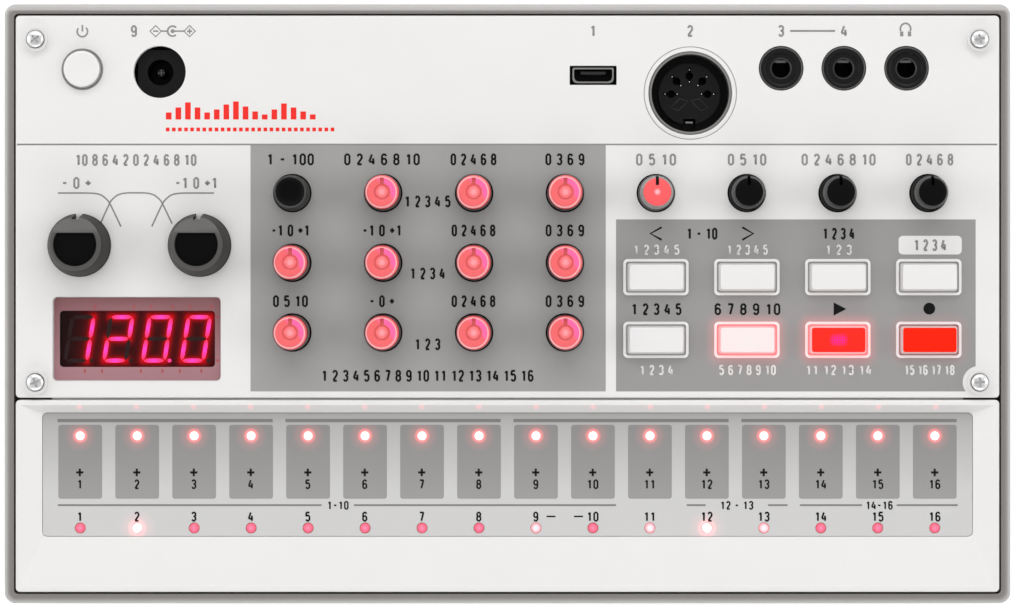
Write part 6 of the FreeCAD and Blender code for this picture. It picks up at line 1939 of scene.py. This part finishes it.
    def one_bar(self, bar: Bar) -> Piece:
        """A flat bar pointed at both ends, leaning with its figure, brightest at its middle.

        Args:
            bar: the bar.

        Returns:
            The bar, about its figure's middle.
        """
        (x0, y0), (x1, y1) = self.outline(bar)
        length = math.hypot(x1 - x0, y1 - y0) - self.gap
        tip = self.bar * 0.55
        piece = grid_plate("bar", (length, self.bar), (4, 2), self.thickness)
        mark_where(piece, lambda spot: (
            abs(spot.y) > 0.3 * self.bar * MM and abs(spot.x) > 0.45 * length * MM))
        stretch((length / 2 - tip) / (length / 2), 0.8)
        close_up(piece)
        self.light_up(piece, lambda spot: max(0.0, 1 - abs(spot[0]) / (0.42 * length)))
        turn = 90 if x0 == x1 else 0
        move(piece, (x0 + x1) / 2, (y0 + y1) / 2, 0, turn)
        piece.data.transform(self.slant())
        return piece

    def drift(self, rise: float) -> float:
        """How far a leaning figure has gone to the right at a height above its middle."""
        return math.tan(math.radians(self.lean)) * rise

    def slant(self) -> Matrix:
        """The lean of the figures to the right."""
        return Matrix(((1, self.drift(1), 0, 0), (0, 1, 0, 0), (0, 0, 1, 0), (0, 0, 0, 1)))

    def bars(self) -> None:
        """Every bar of the four figures, lit or not, and the four points."""
        lit: list[Piece] = []
        dark: list[Piece] = []
        radius, top, foot = self.bar / 2, self.thickness, self.face + 0.07
        low = -self.size[1] / 2 + radius
        side = self.size[0] / 2 + radius + self.gap + self.drift(low)
        for place, figure in enumerate(self.shown):
            x = self.figure_x(place)
            for bar in Bar:
                piece = move(self.one_bar(bar), x, self.centre[1], foot)
                (lit if bar in self.FIGURES[figure] else dark).append(piece)
            point = turned("point", [(radius, 0), (radius, top - 0.05), (radius - 0.05, top)], 24)
            self.light_up(point, lambda spot: 0.4)
            move(point, x + side, self.centre[1] + low, foot)
            (lit if place == self.point_after else dark).append(point)
        for name, pieces, finish in (("display_bars_lit", lit, Shades.SEGMENT),
                                     ("display_bars_unlit", dark, Shades.SEGMENT_OFF)):
            fit(join(name, pieces), "segment_red", finish, nodes=["display_segments"])


def distance_to(spot: Spot, line: tuple[Spot, Spot]) -> float:
    """Measure how far a point lies from a straight line between two ends.

    Args:
        spot: the point.
        line: the two ends.

    Returns:
        The distance.
    """
    start, end = Vector(line[0]), Vector(line[1])
    along = end - start
    share = (Vector(spot) - start).dot(along) / along.length_squared
    return (Vector(spot) - start - along * min(max(share, 0.0), 1.0)).length


@dataclass
class Sockets:
    """The three jacks, the round socket's insert, the data socket and the inlet's pin."""

    board: float = 23.1
    panel: float = 35.5
    jack_body: Spot = (9.4, 11.0)
    jack_body_top: float = 33.4
    jack_boss: float = 4.2
    jack_step: float = 3.0
    jack_step_depth: float = 0.7
    jack_bore: float = 1.8
    jack_pitch: float = 12.0
    insert_base: float = 7.41
    insert_base_top: float = 26.1
    insert_core: float = 5.97
    insert_top: float = 31.5
    pin_circle: float = 3.5
    pin_radius: float = 0.75
    pin_floor: float = 25.1
    tip_offset: float = 1.18
    slot: Spot = (3.0, 0.5)
    key: float = 2.4
    collar_line: float = 8.86
    fine_line: float = 0.14
    usb: Spot = (7.9, 2.95)
    usb_top: float = 35.0
    usb_floor: float = 30.0
    usb_wall: float = 0.3
    usb_corners: Spot = (0.8, 0.25)
    tongue: tuple[float, float, float] = (4.9, 0.7, 34.5)
    strip: Spot = (0.36, 0.08)
    strip_pitch: float = 0.65
    slit: Spot = (1.25, 0.17)

    def build(self) -> None:
        """Make each socket in place."""
        self.jacks()
        self.insert()
        self.data_socket()
        self.inlet_pin()

    def jacks(self) -> None:
        """One jack, then its copies, each with the flat of its spring in the mouth."""
        top, step = self.panel, self.panel - self.jack_step_depth
        jack = slab("jack", self.jack_body, 0.3, [
            (0, self.board), (0, self.jack_body_top - 0.2), (0.2, self.jack_body_top)])
        boss = turned("boss", [
            (self.jack_boss, self.board + 0.2), (self.jack_boss, top - 0.34), (4.1, top - 0.12), (3.88, top),
            (3.3, top - 0.02), (self.jack_step + 0.12, top - 0.1)], 64)
        carve(jack, boss, how="UNION")
        mouth = turned("mouth", [
            (self.jack_bore, self.board - 1), (self.jack_bore, step - 0.25), (self.jack_bore + 0.25, step),
            (self.jack_step - 0.1, step), (self.jack_step, step + 0.1), (self.jack_step + 0.12, top + 1)], 48)
        carve(jack, mouth)
        smooth(jack, 40)
        # Painted highlight on the lip's rounding and the bore's chamfer.
        paint(jack, 1, lambda spot, normal: abs(normal.z) < 0.97 and (
            3.9 < spot.xy.length < 4.19 and spot.z > top - 0.3
            or self.jack_bore < spot.xy.length < self.jack_bore + 0.24))
        spring = turned("spring", [(self.jack_bore - 0.02, 31.5), (self.jack_bore - 0.02, 33.6)], 32)
        window = slab("window", (2.2, 0.45), 0.05, [(0, 31), (0, 36)], 2)
        carve(spring, move(window, 0, 1.4), how="INTERSECT")
        _low, high, middle = node_box("jack_sockets")
        for index in range(3):
            x = high.x - self.jack_body[0] / 2 - index * self.jack_pitch
            piece = twin(jack, f"jack_bushing_{index + 1}", x, middle.y)
            fit(piece, "socket_black", Shades.JACK, Shades.JACK_EDGE, nodes=["jack_sockets"])
            leaf = twin(spring, f"jack_spring_{index + 1}", x, middle.y)
            fit(leaf, "contact_metal", Shades.SPRING)
        put_away(jack, spring)

    def insert(self) -> None:
        """The round socket's insert with five pole holes, their slots and contact tips, and the key."""
        x, y = node_box("midi_insert")[2].xy
        top = self.insert_top
        block = turned("midi_insert_block", [
            (self.insert_base, self.board), (self.insert_base, self.insert_base_top),
            (self.insert_core, self.insert_base_top), (self.insert_core, top - 0.15),
            (self.insert_core - 0.15, top)], 72)
        tips = []
        for turn in range(0, 181, 45):
            out = Vector((math.cos(math.radians(turn)), math.sin(math.radians(turn)))) * self.pin_circle
            hole = turned("hole", [(self.pin_radius, self.pin_floor), (self.pin_radius, top + 1)], 28)
            slot = slab("slot", self.slot, 0.1, [(0, top - 2.2), (0, top + 1)], 2)
            carve(block, move(hole, *out), move(slot, *out, 0, turn))
            for side in (-1, 1):
                tip = turned(
                    "tip", [(0.2, top - 2.3), (0.2, top - 0.3), (0.12, top - 0.2), (0, top - 0.17)], 12)
                tips.append(move(tip, *(out * (1 + side * self.tip_offset / self.pin_circle))))
        notch = slab("notch", (self.key, self.key), 0.2, [(0, self.pin_floor), (0, top + 1)], 2)
        carve(block, move(notch, 0, -self.insert_core))
        smooth(move(block, x, y), 35)
        fit(block, "socket_black", Shades.SOCKET, nodes=["midi_insert"])
        tab = slab("tab", (1.6, 0.45), 0.1, [(0, self.pin_floor - 0.1), (0, top - 1.4), (0.08, top - 1.3)], 2)
        tips.append(move(tab, 0, -5.4))
        contacts = move(join("midi_contacts", tips), x, y)
        fit(contacts, "contact_metal", Shades.CONTACT)
        ridges = Printer("midi_ridges", top, Shades.RIDGE, slot="socket_black", thickness=0.06)
        for side in (-1, 1):
            wing = [(0.3, -1.3), (1.9, -0.9), (3.6, -2.6), (2.2, -3.2), (1.2, -2.3), (0.3, -1.3)]
            ridges.draw([[(x + side * px, y + py) for px, py in wing]], self.fine_line)
        ridges.finish()
        collar = turned("midi_collar", [
            (7.99, 34.72), (7.99, 35.36), (8.1, 35.47), (8.72, 35.49), (8.8, 35.44), (8.8, 35.2)], 96, True)
        smooth(move(collar, x, y), 40)
        fit(collar, "case_white", Shades.CASE)
        line = Printer("midi_collar_line", self.panel, Shades.INK_GREY, thickness=0.01)
        line.draw([arc((x, y), (self.collar_line, self.collar_line), range(0, 361, 6))], self.fine_line)
        line.finish()

    def data_block(self, name: str, inset: float, low: float, high: float) -> Piece:
        """A block of the data socket's outline, its two front corners cut off.

        Args:
            name: the piece's name.
            inset: how far inside the shell's outline it lies.
            low: its underside.
            high: its top.

        Returns:
            The block, about the world's vertical axis.
        """
        clear()
        bpy.ops.mesh.primitive_plane_add(size=MM, location=(0, 0, low * MM))
        piece = begin(name)
        stretch(self.usb[0] - 2 * inset, self.usb[1] - 2 * inset)
        for side, corner in zip((-1, 1), self.usb_corners):
            mark_where(piece, lambda spot: spot.y * side > 0)
            bpy.ops.mesh.bevel(offset=corner * MM, segments=2, affect="VERTICES")
        bpy.ops.mesh.select_all(action="SELECT")
        lift(high - low)
        return close_up(piece)

    def data_socket(self) -> None:
        """A thin metal shell with painted shade inside its cavity, and its tongue with five strips."""
        x, y = node_box("usb_socket")[2].xy
        shell = self.data_block("usb_shell", 0, self.board, self.usb_top)
        carve(shell, self.data_block("cavity", self.usb_wall, self.usb_floor, self.usb_top + 1))
        smooth(shell, 30)
        reach = (self.usb[0] / 2 - self.usb_wall / 2, self.usb[1] / 2 - self.usb_wall / 2)
        # Painted shade: the inside of the metal shell takes the black socket finish.
        paint(shell, 1, lambda spot, normal: (
            abs(spot.x) < reach[0] and abs(spot.y) < reach[1]
            and self.usb_floor - 0.1 < spot.z < self.usb_top - 0.05))
        move(shell, x, y)
        fit(shell, "contact_metal", Shades.CONTACT, Shades.SOCKET, nodes=["usb_socket"])
        width, thickness, top = self.tongue
        seat = self.usb[1] / 2 - self.usb_wall - thickness
        tongue = slab("usb_tongue", (width, thickness), 0.05, [
            (0, self.usb_floor), (0, top - 0.15), (0.12, top)], 2)
        move(tongue, x, y + seat)
        fit(tongue, "socket_black", Shades.RIDGE)
        strips = []
        for place in range(-2, 3):
            strip = slab("strip", self.strip, 0, [(0, self.usb_floor), (0, top - 0.3), (0.03, top - 0.25)])
            strips.append(move(strip, x + place * self.strip_pitch, y + seat - thickness / 2))
        fit(join("usb_strips", strips), "contact_metal", Shades.CONTACT)

    def inlet_pin(self) -> None:
        """The inlet's round metal pin in the black socket finish as painted shade deep in its bore, with
        metal on the floor of the cross in its tip.
        """
        low, high, middle = node_box("dc_pin")
        radius, top = (high.x - low.x) / 2, high.z
        pin = turned("dc_pin_tip", [
            (radius, low.z), (radius, top - 0.45), (radius * 0.85, top - 0.16), (radius * 0.5, top - 0.03),
            (0, top)], 32)
        cross_cut(pin, self.slit, 0, [(0, top - 0.2), (0, top + 1)])
        smooth(pin, 35)
        paint(pin, 1, lambda spot, normal: normal.z > 0.98 and spot.z < top - 0.18)
        move(pin, middle.x, middle.y)
        fit(pin, "contact_metal", Shades.SOCKET, Shades.SPRING, nodes=["dc_pin"])


def dress_nodes() -> None:
    """Give every CAD node that stays its own finish."""
    finishes = {
        Shades.SHELL: ("lower_shell", "battery_door"), Shades.PANEL: ("control_panel",),
        Shades.FRAME: ("keyboard_frame",), Shades.OVERLAY: ("touch_overlay",),
        Shades.WINDOW: ("display_window",), Shades.BOARD: ("main_board", "touch_board"),
        Shades.STEEL: ("board_screws", "case_screws", "speaker_frame"), Shades.CONE: ("speaker_cone",),
        Shades.LEAD: ("speaker_leads",), Shades.RIBBON: ("ribbon_cable",), Shades.RUBBER: ("rubber_feet",),
        Shades.CONTACT: ("battery_contacts", "midi_shell"), Shades.LAMP_DIM: ("indicator_lamps",),
        Shades.SOCKET: ("dc_socket", "encoder_body", "potentiometer_bodies", "key_switches",
                        "power_switch"),
        Shades.SHAFT: ("bass_shaft", "treble_shaft"),
    }
    for finish, nodes in finishes.items():
        for node in nodes:
            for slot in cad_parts[node].material_slots:
                slot.material = finish.material()
            LOG.info("%s keeps its shape", node)


@dataclass
class Studio:
    """Plain pale floor, soft lamps and an even sky."""

    floor_size: float = 4000.0
    floor_level: float = -0.05
    floor_lift: float = 0.55
    sky: float = 0.44
    zenith: float = 0.3
    lamps: tuple[tuple[str, tuple[float, float, float], Spot, float], ...] = (
        ("rear_lamp", (0.0, 620.0, 640.0), (1000.0, 420.0), 3.1),
        ("front_lamp", (0.0, -700.0, 480.0), (1000.0, 300.0), 1.95),
        ("left_lamp", (-760.0, 60.0, 480.0), (500.0, 700.0), 1.65),
        ("right_lamp", (760.0, 60.0, 480.0), (500.0, 700.0), 1.65),
        ("top_lamp", (0.0, 120.0, 1300.0), (900.0, 700.0), 1.9),
    )

    def build(self) -> None:
        """Lay the floor, hang the lamps and set the sky."""
        self.floor()
        self.sky_light()
        for name, place, size, power in self.lamps:
            data = bpy.data.lights.new(name, "AREA")
            data.shape = "RECTANGLE"
            data.size, data.size_y = size[0] * MM, size[1] * MM
            data.energy = power
            lamp = bpy.data.objects.new(name, data)
            lamp.location = Vector(place) * MM
            lamp.rotation_euler = (-Vector(place)).to_track_quat("-Z", "Y").to_euler()
            lamp.visible_glossy = name != "top_lamp"
            bpy.context.scene.collection.objects.link(lamp)

    def floor(self) -> None:
        """A white floor that keeps the object's soft shadow."""
        clear()
        bpy.ops.mesh.primitive_plane_add(size=self.floor_size * MM, location=(0, 0, self.floor_level * MM))
        floor = bpy.context.object
        floor.name = "floor"
        material = bpy.data.materials.new("floor_white")
        material.use_nodes = True
        tree = Tree(material.node_tree)
        shader = material.node_tree.nodes["Principled BSDF"]
        shader.inputs["Base Color"].default_value = (0.8, 0.8, 0.8, 1)
        shader.inputs["Roughness"].default_value = 0.8
        tree.feed(shader.inputs["Emission Strength"], tree.math("MULTIPLY", tree.seen(), self.floor_lift))
        shader.inputs["Emission Color"].default_value = (1, 1, 1, 1)
        floor.data.materials.append(material)

    def sky_light(self) -> None:
        """An even sky that lights at a plain level and is seen as white."""
        world = bpy.data.worlds.new("sky")
        world.use_nodes = True
        bpy.context.scene.world = world
        tree = Tree(world.node_tree)
        height = tree.add("SeparateXYZ", {0: tree.add("TexCoord").outputs["Generated"]}).outputs["Z"]
        white = tree.fade(height, 0.55, 0.97, 1.0, self.zenith)
        strength = tree.add("MapRange", {0: tree.seen(), 3: self.sky, 4: white}).outputs[0]
        background = world.node_tree.nodes["Background"]
        background.inputs["Color"].default_value = (1, 1, 1, 1)
        tree.tree.links.new(strength, background.inputs["Strength"])


def main() -> None:
    """Build every sub-assembly in order, then the studio and the camera."""
    logging.basicConfig(level=logging.INFO, format="%(name)s: %(message)s")
    dress_nodes()
    for part in (PanelPrint(), Keyboard(), KnobSet(), Isolators(), Buttons(), PanelScrews(), Display(),
                 Sockets()):
        part.build()
    Studio().build()
    VIEW.camera()
    bpy.context.scene.view_settings.view_transform = "Standard"


if __name__ == "__main__":
    main()
